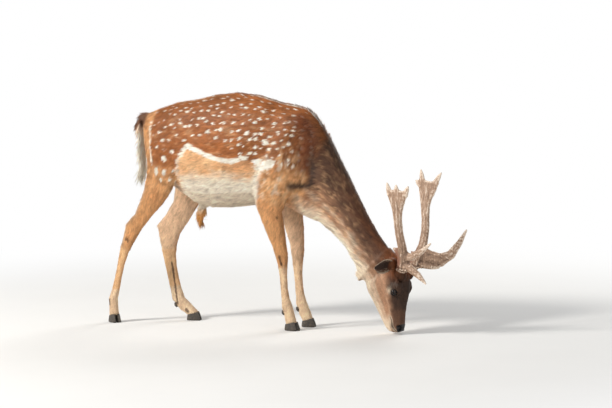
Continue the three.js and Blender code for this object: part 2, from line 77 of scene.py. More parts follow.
# The barrel from the rump to the withers and down the neck: forward, top, bottom and half width.
BARREL = np.array([
    [-698, 812, 752, 18], [-660, 848, 640, 75], [-600, 868, 580, 96], [-500, 895, 500, 114],
    [-400, 916, 470, 126], [-316, 932, 468, 130], [-200, 922, 480, 122], [-100, 896, 488, 114],
    [-10, 880, 480, 100], [48, 845, 466, 88], [100, 762, 436, 80], [206, 566, 340, 61], [320, 372, 214, 47],
])
GIRTH = 175  # millimetres round the barrel for each radian
HIND_HALF = -300  # the hind legs are behind this place, and the forelegs in front of it

# Coat by region: depth, tuft length and width in millimetres, and tufts to the square centimetre.
COAT = {
    "trunk": (6.0, 18, 2.8, 18.5),
    "neck": (7.0, 22, 2.9, 18),
    "head": (2.4, 9, 1.7, 38),
    "ear": (0.9, 7, 1.3, 40),
    "tail": (3.5, 36, 2.4, 30),
    "sheath": (3, 24, 2.4, 30),
    "upper": (3.6, 17, 2.4, 24),
    "cannon": (1.8, 9, 1.6, 36),
    "pastern": (1.8, 9, 1.6, 36),
}


# ---------------------------------------------------------------- numbers over a surface

# Turns the grid of random values, so that its rows lie along no axis of the body.
SKEW = np.array(Matrix.Rotation(1.1, 3, (1, 2, 3)))
# Numbers that make one key of a grid cell's three places, and shifts and factors that stir it.
CELL_MIX = np.array([73856093, 19349663, 83492791])
STIRS = ((13, 1274126177), (15, 668265263))
KEY_BITS = 0x7FFFFFFF


def ease(low, high, x):
    """0 up to `low` and 1 past `high`, eased between. It falls instead where `low` is the larger."""
    t = np.clip((x - low) / (high - low), 0, 1)
    return t * t * (3 - 2 * t)


def lumps(points, size, seed):
    """Smooth random values from -1 to 1 at points, in lumps about `size` across."""
    places = points @ SKEW / size + 0.37 * seed
    cell = np.floor(places).astype(np.int64)
    t = places - cell
    t = t * t * (3 - 2 * t)
    total = np.zeros(len(points))
    for corner in itertools.product((0, 1), repeat=3):
        key = (cell + corner) @ CELL_MIX + seed * 7919
        for shift, factor in STIRS:
            key = ((key ^ (key >> shift)) * factor) & KEY_BITS
        share = np.prod(np.where(corner, t, 1 - t), axis=1)
        total += share * (key / (KEY_BITS // 2) - 1)
    return total


def streaks(points, way, size, seed):
    """Random values from -1 to 1 drawn out along the way the hair lies."""
    steps = np.linspace(-1.5, 1.5, 4) * size
    return 1.7 * np.mean([lumps(points + way * step, size, seed) for step in steps], axis=0)


def unit(vectors):
    return vectors / np.maximum(np.linalg.norm(vectors, axis=1, keepdims=True), 1e-12)


def line_distance(u, v, points):
    """Distance from (u, v) to a line through points, and the share of the line where it is nearest."""
    best = np.full(u.shape, 1e9)
    share = np.zeros(u.shape)
    pieces = len(points) - 1
    for k in range(pieces):
        (u0, v0), (u1, v1) = points[k], points[k + 1]
        du, dv = u1 - u0, v1 - v0
        t = np.clip(((u - u0) * du + (v - v0) * dv) / (du * du + dv * dv + 1e-9), 0, 1)
        away = np.hypot(u - u0 - t * du, v - v0 - t * dv)
        nearer = away < best
        best = np.where(nearer, away, best)
        share = np.where(nearer, (k + t) / pieces, share)
    return best, share


def within(away, width, soft):
    """1 inside a line of that width, falling to 0 over `soft`, by the distance from its middle."""
    return 1 - ease(width / 2 - soft / 2, width / 2 + soft / 2, away)


def stroke(u, v, points, width, soft):
    """1 on a line of that width through points, falling to 0 over `soft`."""
    return within(line_distance(u, v, points)[0], width, soft)


def read(items, key, width, kind=float):
    """A property of every item of a mesh, one row for each."""
    values = np.empty(len(items) * width, kind)
    items.foreach_get(key, values)
    return values.reshape(-1, width)


def coordinates(mesh):
    return read(mesh.vertices, "co", 3)


def normals(mesh):
    return read(mesh.vertex_normals, "vector", 3, np.float32).astype(float)


class Web:
    """The neighbours of each vertex of a mesh, to spread values over it."""

    def __init__(self, mesh):
        self.pairs = read(mesh.edges, "vertices", 2, np.int32)
        self.size = len(mesh.vertices)
        self.count = np.maximum(np.bincount(self.pairs.ravel(), minlength=self.size), 1)

    def mean(self, values):
        a, b = self.pairs.T
        columns = values.reshape(self.size, -1).T
        total = [np.bincount(a, c[b], self.size) + np.bincount(b, c[a], self.size) for c in columns]
        return (np.array(total).T / self.count[:, None]).reshape(values.shape)

    def spread(self, values, times):
        for _ in range(times):
            values = 0.5 * values + 0.5 * self.mean(values)
        return values

    def smooth(self, points, times, strength):
        """Taubin smoothing, which rounds the facets and keeps the bulk."""
        strength = strength[:, None]
        for _ in range(times):
            points = points + 0.5 * strength * (self.mean(points) - points)
            points = points - 0.52 * strength * (self.mean(points) - points)
        return points


# ---------------------------------------------------------------- frames of the animal

def to_animal(points):
    return (points - ORIGIN) * 1000


def to_row(points):
    return points / 1000 + ORIGIN


def turned(points, angle):
    c, s = math.cos(angle), math.sin(angle)
    return points @ np.array([[c, s, 0], [-s, c, 0], [0, 0, 1]])


def to_head(points):
    """The animal's frame with its head turned straight."""
    return turned(points - HEAD_PIVOT, -HEAD_TURN) + HEAD_PIVOT


def from_head(points):
    return turned(points - HEAD_PIVOT, HEAD_TURN) + HEAD_PIVOT


def head_spot(landmark):
    """A landmark of the straight head as a place in the scene."""
    return Vector(to_row(from_head(landmark[None]))[0])


def barrel_place(points):
    """Forward place, and the distance down round the barrel from the spine."""
    x = points[:, 0]
    top, bottom, half = (np.interp(x, BARREL[:, 0], BARREL[:, k]) for k in (1, 2, 3))
    up = (points[:, 2] - (top + bottom) / 2) / ((top - bottom) / 2)
    return x, GIRTH * np.arctan2(np.abs(points[:, 1]) / half, up)


# ---------------------------------------------------------------- meshes

def new_object(name, data):
    obj = bpy.data.objects.new(name, data)
    bpy.context.scene.collection.objects.link(obj)
    return obj


def object_of(bm, name):
    """A bmesh as a new object."""
    mesh = bpy.data.meshes.new(name)
    bm.to_mesh(mesh)
    bm.free()
    return new_object(name, mesh)


def with_modifiers(obj):
    """The object's mesh with its modifiers applied."""
    graph = bpy.context.evaluated_depsgraph_get()
    graph.update()
    mesh = bpy.data.meshes.new_from_object(obj.evaluated_get(graph))
    old = obj.data
    obj.modifiers.clear()
    obj.data = mesh
    bpy.data.meshes.remove(old)
    mesh.name = obj.name
    return mesh


def merged_copy(name, nodes, swell):
    """A copy of CAD nodes as one object, merged and swollen by `swell` metres so that cut faces meet."""
    bm = bmesh.new()
    for node in nodes:
        first = len(bm.verts)
        bm.from_mesh(NODES[node].data)
        bm.verts.ensure_lookup_table()
        if node in DEWCLAW_SEAT:
            bmesh.ops.translate(bm, verts=bm.verts[first:], vec=DEWCLAW_SEAT[node])
    bmesh.ops.remove_doubles(bm, verts=bm.verts, dist=1e-6)
    bm.normal_update()
    for vert in bm.verts:
        vert.co += vert.normal * swell
    return object_of(bm, name)


def remeshed(obj, size):
    modifier = obj.modifiers.new("whole", "REMESH")
    modifier.mode = "VOXEL"
    modifier.voxel_size = size
    modifier.adaptivity = 0
    return with_modifiers(obj)


def set_points(mesh, points):
    mesh.vertices.foreach_set("co", np.ascontiguousarray(points, np.float32).ravel())
    mesh.update()


def set_colour(mesh, name, colours):
    rgba = np.ones((len(colours), 4), np.float32)
    rgba[:, :3] = colours
    mesh.color_attributes.new(name, "FLOAT_COLOR", "POINT").data.foreach_set("color", rgba.ravel())


def set_value(mesh, name, values):
    values = np.ascontiguousarray(values, np.float32)
    mesh.attributes.new(name, "FLOAT", "POINT").data.foreach_set("value", values)


def shade_smooth(mesh):
    mesh.polygons.foreach_set("use_smooth", np.ones(len(mesh.polygons), bool))


def finish_piece(obj, nodes, material):
    """Gives a piece its material and states its body and the nodes that it replaces."""
    obj.data.materials.clear()
    obj.data.materials.append(material)
    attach(obj, "root")
    if nodes:
        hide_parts(*nodes)


# ---------------------------------------------------------------- materials

class Value:
    """An output socket, with Python's operators as Math nodes."""

    def __init__(self, maker, socket):
        self.maker, self.socket = maker, socket

    def _math(self, operation, a, b):
        return self.maker.node("ShaderNodeMath", {"operation": operation}, {0: a, 1: b}).value()

    def __add__(self, other):
        return self._math("ADD", self, other)

    def __sub__(self, other):
        return self._math("SUBTRACT", self, other)

    def __rsub__(self, other):
        return self._math("SUBTRACT", other, self)

    def __mul__(self, other):
        return self._math("MULTIPLY", self, other)

    __radd__, __rmul__ = __add__, __mul__


class Made:
    """A node that has just been made."""

    def __init__(self, maker, node):
        self.maker, self.node = maker, node

    def value(self, output=0):
        return Value(self.maker, self.node.outputs[output])

    def __getitem__(self, output):
        return self.node.outputs[output]


class Nodes:
    """Makes the nodes of one tree."""

    def __init__(self, tree):
        self.tree = tree

    def node(self, kind, settings=None, inputs=None):
        """A new node of that kind, with its settings and then its inputs."""
        node = self.tree.nodes.new(kind)
        for key, value in (settings or {}).items():
            if key == "stops":
                ramp = node.color_ramp.elements
                while len(ramp) < len(value):
                    ramp.new(0.5)
                for stop, (place, colour) in zip(ramp, value):
                    stop.position = place
                    stop.color = (*map(float, colour), 1)
            else:
                setattr(node, key, value)
        for key, value in (inputs or {}).items():
            self.feed(node.inputs[key], value)
        return Made(self, node)

    def feed(self, socket, value):
        """Links a socket to another, or sets it to a constant."""
        if isinstance(value, Value):
            value = value.socket
        if isinstance(value, bpy.types.NodeSocket):
            self.tree.links.new(value, socket)
        elif isinstance(value, tuple) and len(value) == 3 and socket.type == "RGBA":
            socket.default_value = (*value, 1)
        else:
            socket.default_value = value

    def show(self, output, share, lit, white):
        """Ends the tree in `lit`, and in `white` by a share."""
        mixed = self.node("ShaderNodeMixShader", {}, {0: share, 1: lit, 2: white})[0]
        self.feed(self.tree.nodes[output].inputs["Surface"], mixed)


class Maker(Nodes):
    """Builds one material's nodes."""

    def __init__(self, name):
        self.material = bpy.data.materials.new(name)
        self.material.use_nodes = True
        super().__init__(self.material.node_tree)
        self.shader = self.tree.nodes["Principled BSDF"]

    def place(self, scale=(1, 1, 1)):
        at = self.node("ShaderNodeTexCoord")["Object"]
        return self.node("ShaderNodeMapping", {}, {"Vector": at, "Scale": scale})["Vector"]

    def noise(self, at, scale, detail, roughness=0.5):
        inputs = {"Vector": at, "Scale": scale, "Detail": detail, "Roughness": roughness}
        return self.node("ShaderNodeTexNoise", {}, inputs).value()

    def ramp(self, share, stops):
        return self.node("ShaderNodeValToRGB", {"stops": stops}, {"Fac": share})["Color"]

    def length(self, vector):
        return self.node("ShaderNodeVectorMath", {"operation": "LENGTH"}, {0: vector}).value("Value")

    def mix(self, share, a, b):
        return self.node("ShaderNodeMix", {"data_type": "RGBA"}, {0: share, 6: a, 7: b})[2]

    def tinted(self, colour, strength):
        """A colour made lighter or darker by a number."""
        return self.node("ShaderNodeVectorMath", {"operation": "SCALE"}, {0: colour, "Scale": strength})[0]

    def attribute(self, name, output="Fac"):
        return self.node("ShaderNodeAttribute", {"attribute_name": name}).value(output)

    def bump(self, height, distance, strength):
        inputs = {"Height": height, "Distance": distance, "Strength": strength}
        return self.node("ShaderNodeBump", {}, inputs)["Normal"]

    def finish(self, constants, **links):
        for key, value in constants.items():
            self.shader.inputs[key].default_value = value
        for key, value in links.items():
            self.feed(self.shader.inputs[key.replace("_", " ")], value)
        return self.material


def linear(colour):
    """A colour as it is written on a screen, as light."""
    c = np.asarray(colour, float)
    return np.where(c <= 0.04045, c / 12.92, ((c + 0.055) / 1.055) ** 2.4)


def tone(name):
    return linear(getattr(bpy.context.scene.deer_colours, name))


def rgb(*levels):
    return tuple(level / 255 for level in levels)


def colour_property(name, description, default):
    return FloatVectorProperty(
        name=name, description=description, default=default, size=3, min=0, max=1, subtype="COLOR_GAMMA")


def length_property(name, description, default):
    return FloatProperty(name=name, description=description, default=default, unit="LENGTH")


def angle_property(name, description, degrees):
    return FloatProperty(
        name=name, description=description, default=math.radians(degrees), unit="ROTATION")


class DeerColours(bpy.types.PropertyGroup):
    """Colours of the coat, horn and stage."""

    chestnut: colour_property("Chestnut", "Back, flanks and haunches", rgb(178, 108, 58))
    # Russet, darkened further, is also painted shade on the shoulder behind its front fold.
    russet: colour_property("Russet", "Dark parts of the back and shoulder", rgb(132, 78, 40))
    spots: colour_property("Spots", "Spots, flank line and haunch stripe", rgb(255, 243, 224))
    spine: colour_property("Spine", "Stripe down the spine", rgb(84, 60, 46))
    sand: colour_property("Sand", "Lower flank, under the white line", rgb(240, 190, 140))
    tan: colour_property("Tan", "Outer sides of the legs and the buttocks", rgb(224, 164, 110))
    cream: colour_property("Cream", "Insides of the legs, throat and lips", rgb(244, 220, 192))
    belly: colour_property("Belly", "Belly", rgb(240, 224, 202))
    # Ash is the grey of the painted shade under the belly and over the top of the sheath, and the colour of
    # scuffs on the hooves.
    ash: colour_property("Ash", "Grey shading under the belly", rgb(160, 142, 120))
    drab: colour_property("Drab", "Grey-brown neck", rgb(98, 67, 48))
    fawn: colour_property("Fawn", "Lower neck", rgb(186, 138, 104))
    cheek: colour_property("Cheek", "Cheeks and lids", rgb(190, 144, 112))
    rust: colour_property("Rust", "Poll, round the antlers", rgb(150, 86, 44))
    brush: colour_property("Brush", "Hairs of the sheath", rgb(216, 152, 84))
    # Umber is also painted shade: along the shoulder's front fold, over the face front and below the eye.
    umber: colour_property("Umber", "Forehead, nose bridge and ear backs", rgb(66, 44, 32))
    black: colour_property("Black", "Nose and bare skin", rgb(30, 26, 25))
    horn: colour_property("Hoof horn", "Hooves and dewclaws", rgb(38, 36, 36))
    bone: colour_property("Antler", "Antler bone", rgb(174, 142, 118))
    polished: colour_property("Polished antler", "Worn tips and edges of the antlers", rgb(230, 210, 190))
    groove: colour_property("Antler groove", "Furrows of the antlers", rgb(98, 74, 58))
    raw: colour_property("Antler root", "Reddish furrow at the foot of the antlers", rgb(138, 84, 66))
    floor: colour_property("Floor", "Floor and backdrop", rgb(236, 235, 232))


class DeerSizes(bpy.types.PropertyGroup):
    """Sizes of the skin, coat and stage."""

    skin_grain: length_property("Skin grain", "Spacing of the first skin mesh", 0.0027)
    skin_faces: IntProperty(
        name="Skin faces", description="Triangles kept in the skin", default=158000, min=20000)
    antler_grain: length_property("Antler grain", "Spacing of the antler mesh", 0.0019)
    hoof_grain: length_property("Hoof grain", "Spacing of the hoof mesh", 0.0014)
    eye_radius: length_property("Eye radius", "Radius of each eyeball", EYE_BALL / 1000)
    coat_fullness: FloatProperty(
        name="Coat fullness", description="Share of the full number of tufts", default=1.0, min=0.05, max=1.1)
    camera_distance: length_property("Camera distance", "From the camera to the deer", 10.0)
    camera_turn: angle_property("Camera turn", "Angle from square on towards the head end", 22)
    camera_rise: angle_property("Camera rise", "Angle above level", 5)


# ---------------------------------------------------------------- skin forms

# Relief on both sides of the barrel and neck: line in forward and up, width, and height or depth.
FORMS = [
    ([(-10, 835), (-58, 730), (-72, 650)], 60, 3.0),  # ridge of the shoulder blade
    # its front edge
    ([(24, 828), (52, 790), (60, 750), (56, 674), (57, 604), (44, 574), (-10, 562)], 22, -8.0),
    ([(-112, 830), (-150, 720), (-176, 620)], 52, -4.0),  # behind the shoulder
    ([(-168, 580), (-150, 560)], 60, 4.0),  # elbow
    ([(62, 600), (30, 570)], 70, 4.0),  # point of the shoulder
    ([(-20, 700), (-60, 610), (-96, 540)], 46, 2.5),  # upper arm
    ([(-448, 800), (-482, 730)], 90, -6.0),  # hollow of the flank
    ([(-506, 866), (-520, 852)], 50, 5.0),  # hip
    ([(-506, 660), (-498, 620)], 80, 4.5),  # stifle
    ([(-505, 640), (-470, 585), (-425, 545)], 44, 4.0),  # fold of the flank
    ([(-566, 830), (-592, 740), (-590, 640)], 36, -2.6),  # between the thigh's muscles
    ([(-650, 790), (-652, 700), (-640, 610)], 34, -2.2),  # down the buttock
    ([(20, 560), (150, 440), (246, 312)], 34, -3.0),  # groove of the throat
    ([(20, 730), (140, 560), (275, 395)], 60, 2.5),  # muscle down the neck
]
RIB_FRONT, RIB_STEP, RIB_COUNT = -188, 37, 7


def barrel_relief(p, n, w):
    """Muscle, bone and folds of the trunk and neck, in millimetres out of the skin."""
    x, z = p[:, 0], p[:, 2]
    height = np.zeros(len(p))
    for line, width, rise in FORMS:
        height += rise * stroke(x, z, line, width * 0.6, width)
    for k in range(RIB_COUNT):
        front = RIB_FRONT - k * RIB_STEP
        height += 1.3 * stroke(x, z, [(front, 846), (front - 8, 760), (front - 42, 640)], 8, 22)
    beside = ease(0.2, 0.7, np.abs(n[:, 1]))
    return height * beside * np.clip(w["trunk"] + w["neck"] + 0.6 * w["upper"], 0, 1)


def leg_relief(p, w, legs):
    """Tendons, knees and hocks, in millimetres out of the skin."""
    height = np.zeros(len(p))
    for leg in LEGS:
        mine = legs[leg] > 0.5
        if not mine.any():
            continue
        q = p[mine]
        level = np.round(q[:, 2] / 6).astype(int)
        count = np.maximum(np.bincount(level), 1)
        centre = np.stack([np.bincount(level, q[:, k]) / count for k in (0, 1)], axis=1)[level]
        angle = np.arctan2(q[:, 1] - centre[:, 1], q[:, 0] - centre[:, 0])
        side = np.abs(np.abs(angle) - math.radians(112))
        cannon = w["cannon"][mine]
        tendon = -1.5 * (1 - ease(0.1, 0.5, side)) * cannon
        back = 0.9 * (1 - ease(0.2, 0.7, math.pi - np.abs(angle))) * cannon
        knuckle = 0.8 * lumps(q, 22, 3) * np.clip(1 - np.abs(cannon - 0.5) * 2, 0, 1)
        height[mine] = tendon + back + knuckle
    return height


# Landmarks of the straight head.
EYE = np.array([392.0, 42.0, 170.0])
EYE_OUT = np.array([0.30, 0.94, -0.10])
EYE_SLIT = np.array([0.10, 0.0, -1.0])
LARYNX = np.array([226.0, 0.0, 219.0])
NOSTRIL = np.array([407.0, 22.0, 22.0])
POLL = np.array([392.0, 0.0, 276.0])
ANTLER_BASE = np.array([424.0, 40.0, 260.0])
ANTLER_FOOT = np.array([414.0, 44.0, 306.0])  # middle of the red furrow over the burr
NECK_UP = np.array([0.82, 0.0, 0.57])
EAR_ROOT = np.array([382.0, 46.0, 276.0])
EAR_WAY = np.array([-0.074, 0.997, 0.0])
EAR_OPEN = np.array([0.93, 0.07, -0.36])
EAR_ACROSS = np.cross(EAR_WAY, EAR_OPEN)
EAR_LENGTH = 122
EAR_HALF_WIDTHS = ((-0.14, 0, 0.15, 0.35, 0.55, 0.75, 0.9, 1), (15, 18, 24, 31, 31, 23, 13, 4))
TEAR_GLAND = [(396, 157), (401, 146), (403, 134)]
NOSTRIL_SLIT = [(404, 19), (409, 23), (410, 30), (405, 36), (399, 37)]
MUZZLE = np.array([390.0, 0.0, 30.0])
MOUTH = [(404, 9), (388, 16), (376, 34), (372, 58), (366, 74)]
# Relief on both sides of the face: line, width, softness of its edge, and height or depth.
FACE_FORMS = [
    (TEAR_GLAND, 2.5, 5, -2.4),
    ([(330, 150), (318, 190), (300, 225)], 26, 30, 2.0),  # cheek
    ([(352, 150), (360, 110), (362, 84)], 8, 20, -1.6),  # above the jaw
    ([(400, 140), (384, 112)], 6, 16, 1.2),  # cheekbone's edge
]
LID_LONG, LID_HIGH = 13.6, 7.6  # half the opening between the lids


def mirrored(point, side):
    return np.array([point[0], side * point[1], point[2]])


def mirror_right(y):
    """Factors that mirror what is on the right side, where y is below 0."""
    return np.where(y[:, None] < 0, (1, -1, 1), (1, 1, 1))


def ear_place(h):
    """Share of an ear's length from its root, place across it, and the share of its half width."""
    d = h * mirror_right(h[:, 1]) - EAR_ROOT
    along = d @ EAR_WAY / EAR_LENGTH
    across = d @ EAR_ACROSS
    return along, across, np.abs(across) / np.interp(along, *EAR_HALF_WIDTHS)


def eye_axes(side):
    out = unit(mirrored(EYE_OUT, side)[None])[0]
    slit = mirrored(EYE_SLIT, side)
    slit = unit((slit - out * (slit @ out))[None])[0]
    return out, slit, np.cross(out, slit)


def eye_place(h, side, radius):
    """Offset and distance from the eye's middle, places along and across its slit, and place outwards."""
    out, slit, across = eye_axes(side)
    d = h - mirrored(EYE, side)
    reach = np.linalg.norm(d, axis=1)
    ahead = d @ out
    return d, reach, radius * np.arctan2(d @ slit, ahead), radius * np.arctan2(d @ across, ahead), ahead


def eye_opening(u, v):
    """Above 0 in the almond between the lids and below 0 outside it, in millimetres."""
    half = LID_HIGH * np.sqrt(np.clip(1 - (u / LID_LONG) ** 2, 0, None))
    return np.where(np.abs(u) < LID_LONG, half - np.abs(v), LID_LONG - np.abs(u) - np.abs(v))


def shape_eyes(h, radius):
    """Lids round the eyeballs, with a fold over each and the socket's rim."""
    h = h.copy()
    for side in (-1, 1):
        d, reach, u, v, ahead = eye_place(h, side, radius)
        near = (reach < 2.3 * radius) & (ahead > -2)
        opening = eye_opening(u, v)
        inside = near & (opening > 0)
        lid = near & (opening <= 0)
        away = np.clip(-opening, 0, 40)
        target = reach.copy()
        target[inside] = np.minimum(reach[inside], radius - 4.0)
        hug = 1 - ease(0, 12, away)
        fold = 1.1 * np.exp(-((away - 1.6) / 1.5) ** 2) - 0.9 * np.exp(-((away - 5.2) / 1.8) ** 2)
        level = np.maximum(radius + 1.2, reach)
        level = level * (1 - hug) + (radius + 1.3) * hug + fold
        target[lid] = level[lid]
        h = np.where(near[:, None], mirrored(EYE, side) + d * (target / np.maximum(reach, 1e-6))[:, None], h)
    return h


def face_relief(h, n):
    """Nostrils, mouth, tear gland, cheek, jaw, bridge and brow, in millimetres out of the skin."""
    x, y, z = h.T
    height = np.zeros(len(h))
    beside = ease(0.15, 0.5, np.abs(n[:, 1]))
    mouth, share = line_distance(x, z, MOUTH)
    height -= 2.8 * (1 - ease(0.4, 2.6, mouth)) * ease(0.0, 0.2, 1 - share) * beside
    height += 1.3 * np.exp(-((mouth - 5) / 2.6) ** 2) * beside
    slit, _ = line_distance(x, z, NOSTRIL_SLIT)
    aside = ease(7, 13, np.abs(y)) * ease(0.0, 0.3, np.abs(n[:, 1]) + n[:, 0])
    height += (1.2 * np.exp(-((slit - 6) / 2.4) ** 2) - 6.0 * (1 - ease(0.8, 3.8, slit))) * aside
    height -= 1.6 * stroke(x, z, [(416, 4), (416, 40)], 1, 4) * (1 - ease(1, 3.5, np.abs(y)))  # cleft
    for line, width, soft, rise in FACE_FORMS:
        height += rise * stroke(x, z, line, width, soft) * beside
    bridge = np.interp(z, (30, 100, 170, 225, 262), (0, 5, 9, 10, 0))
    return height + bridge * ease(0.15, 0.75, n[:, 0])


# ---------------------------------------------------------------- coat colours

FLANK_LINE = [(-492, 684), (-476, 704), (-460, 719), (-441, 711), (-400, 695), (-356, 680), (-314, 667),
              (-271, 662), (-240, 668)]
THIGH_LINE = [(-462, 716), (-492, 692), (-508, 652), (-512, 600), (-500, 565)]
HAUNCH_STRIPE = [(-640, 806), (-635, 760), (-631, 722), (-626, 680), (-618, 640)]
ELBOW_LINE = [(-120, 660), (-152, 640), (-170, 596), (-172, 530)]
# Each pale line with its width, the softness of its edge and its strength from end to end.
PALE_LINES = [(FLANK_LINE, 18, 6, (1, 0.95)), (THIGH_LINE, 9, 10, (1, 0.3)), (ELBOW_LINE, 24, 26, (0.9, 0.5))]
# Line of the painted shade along the fold in front of the shoulder.
SHOULDER_CREASE = [(24, 828), (52, 790), (60, 750), (54, 674), (57, 604), (44, 574), (-28, 570)]
# Bright patches along the flank line: forward, up, half length and half height.
PATCHES = [(-452, 712, 22, 13), (-214, 678, 16, 9), (-163, 664, 26, 14), (-140, 650, 36, 24),
           (-106, 662, 22, 11), (-132, 736, 11, 10)]

# Spots of the haunch: forward, distance from the spine, half height and half width.
HAUNCH_SPOTS = [
    (-600, 164, 4, 5), (-578, 152, 4, 4), (-567, 190, 5, 5), (-542, 177, 5, 6), (-524, 190, 4, 4),
    (-592, 219, 6, 8), (-506, 150, 5, 6), (-500, 166, 6, 7), (-478, 178, 6, 9), (-453, 152, 5, 5),
    (-479, 117, 7, 8), (-420, 150, 5, 7), (-514, 218, 8, 5), (-574, 254, 6, 8), (-547, 244, 6, 8),
    (-478, 234, 5, 8), (-595, 290, 7, 6), (-564, 289, 4, 5), (-531, 288, 8, 8), (-563, 322, 11, 10),
    (-596, 375, 11, 9), (-563, 367, 9, 7), (-528, 357, 6, 7), (-575, 390, 4, 5), (-541, 385, 5, 6),
    (-530, 130, 5, 6), (-556, 122, 4, 5), (-508, 112, 4, 6), (-616, 240, 3, 4), (-619, 190, 4, 4),
]
# Rows of spots round the barrel: first and last place forward, distance from the spine at each, how many,
# and their half length.
SPOT_ROWS = [
    (-600, 30, -216, 26, 10, 5.5), (-560, 62, 10, 58, 17, 6), (-630, 94, 30, 92, 20, 6.5),
    (-450, 122, 44, 118, 16, 7), (-396, 150, 36, 144, 14, 7), (-452, 178, 44, 170, 17, 7),
    (-436, 206, 40, 198, 16, 8), (-330, 234, 40, 224, 12, 8), (-270, 262, 36, 250, 11, 7),
    (-226, 284, 30, 276, 9, 7), (-96, 306, 20, 302, 5, 6.5),
]
# The row of spots beside the spine: first and last place forward, and distance from the spine.
SPINE_ROW = (-200, 74, 24)
SPOT_SEED = 11
SPOT_STRAY = 7  # millimetres by which the left haunch's spots stray from the right's
HAUNCH_TILT, ROW_TILT = 1.35, 0.42  # how far the spots' length leans from level, in radians


def spot_list(side):
    """Spots on one side: forward, distance from the spine, half length, half width and tilt."""
    rng = np.random.default_rng(SPOT_SEED + side)
    stray = 0 if side < 0 else SPOT_STRAY
    spots = [(x + rng.normal(0, stray), s + rng.normal(0, stray), long, wide, HAUNCH_TILT)
             for x, s, long, wide in HAUNCH_SPOTS]
    for first, s0, last, s1, count, size in SPOT_ROWS:
        for k in range(count):
            t = (k + rng.uniform(-0.3, 0.3)) / (count - 1)
            x = first + (last - first) * t
            s = s0 + (s1 - s0) * t + rng.normal(0, 6)
            half = size * rng.uniform(0.7, 1.25)
            spots.append((x, s, half, half * rng.uniform(0.6, 0.85), ROW_TILT + rng.normal(0, 0.2)))
    return spots


def spot_mask(p):
    """1 inside the ragged spots of both sides."""
    x, s = barrel_place(p)
    ragged = 0.9 * lumps(p, 7, 21)
    mask = np.zeros(len(p))
    for side in (-1, 1):
        mine = np.flatnonzero(p[:, 1] * side >= 0)
        xs, ss, rag = x[mine], s[mine], ragged[mine]
        best = np.zeros(len(mine))
        order = np.argsort(xs)
        sorted_x = xs[order]
        for at, down, long, wide, tilt in spot_list(side):
            low, high = np.searchsorted(sorted_x, (at - 24, at + 24))
            near = order[low:high]
            du, dv = xs[near] - at, -(ss[near] - down)
            along = du * math.cos(tilt) + dv * math.sin(tilt)
            over = -du * math.sin(tilt) + dv * math.cos(tilt)
            away = np.hypot(along / long, over / wide) * wide + rag[near]
            inside = 1 - ease(wide * 0.7, wide * 1.2, away)
            best[near] = np.maximum(best[near], inside)
        mask[mine] = best
    return mask


def blend(base, colour, share):
    """A colour over another, as far as `share` from 0 to 1 at each place."""
    return base + (colour - base) * np.reshape(np.clip(share, 0, 1), (-1, 1))


class Paint:
    """Colours at many places, laid one over another."""

    def __init__(self, name, count, strength=1.0):
        self.colour = np.tile(tone(name) * strength, (count, 1))

    def lay(self, name, share, strength=1.0):
        self.colour = blend(self.colour, tone(name) * strength, share)

    def cover(self, other, share):
        self.colour = blend(self.colour, other.colour, share)


def leg_share(w):
    return w["upper"] + w["cannon"] + w["pastern"]


def coat_colour(p, n, w):
    """The coat's colour at points p with normals n, by region weights w."""
    wide, fine = lumps(p, 90, 1), lumps(p, 24, 2)
    neck = neck_colour(p, n, wide, fine)
    colour = leg_colour(p, n, w, wide, fine) * leg_share(w)[:, None]
    layers = {
        "trunk": trunk_colour(p, n, wide, fine),
        "neck": neck,
        "head": head_colour(p, n, fine, neck),
        "ear": ear_colour(p, n, fine),
        "tail": tail_colour(p, n),
        "sheath": sheath_colour(p),
    }
    for region, layer in layers.items():
        colour += layer * w[region][:, None]
    poll = poll_share(to_head(p)) * (w["head"] + w["neck"])
    colour = blend(colour, tone("rust") * 0.9, 0.75 * poll)
    return colour * (1 + 0.09 * fine + 0.05 * lumps(p, 9, 5))[:, None]


def poll_share(h):
    """1 on the poll, where curly hair stands round the antlers."""
    return 1 - ease(38, 84, np.linalg.norm((h - POLL) * (1.0, 0.75, 1.0), axis=1))


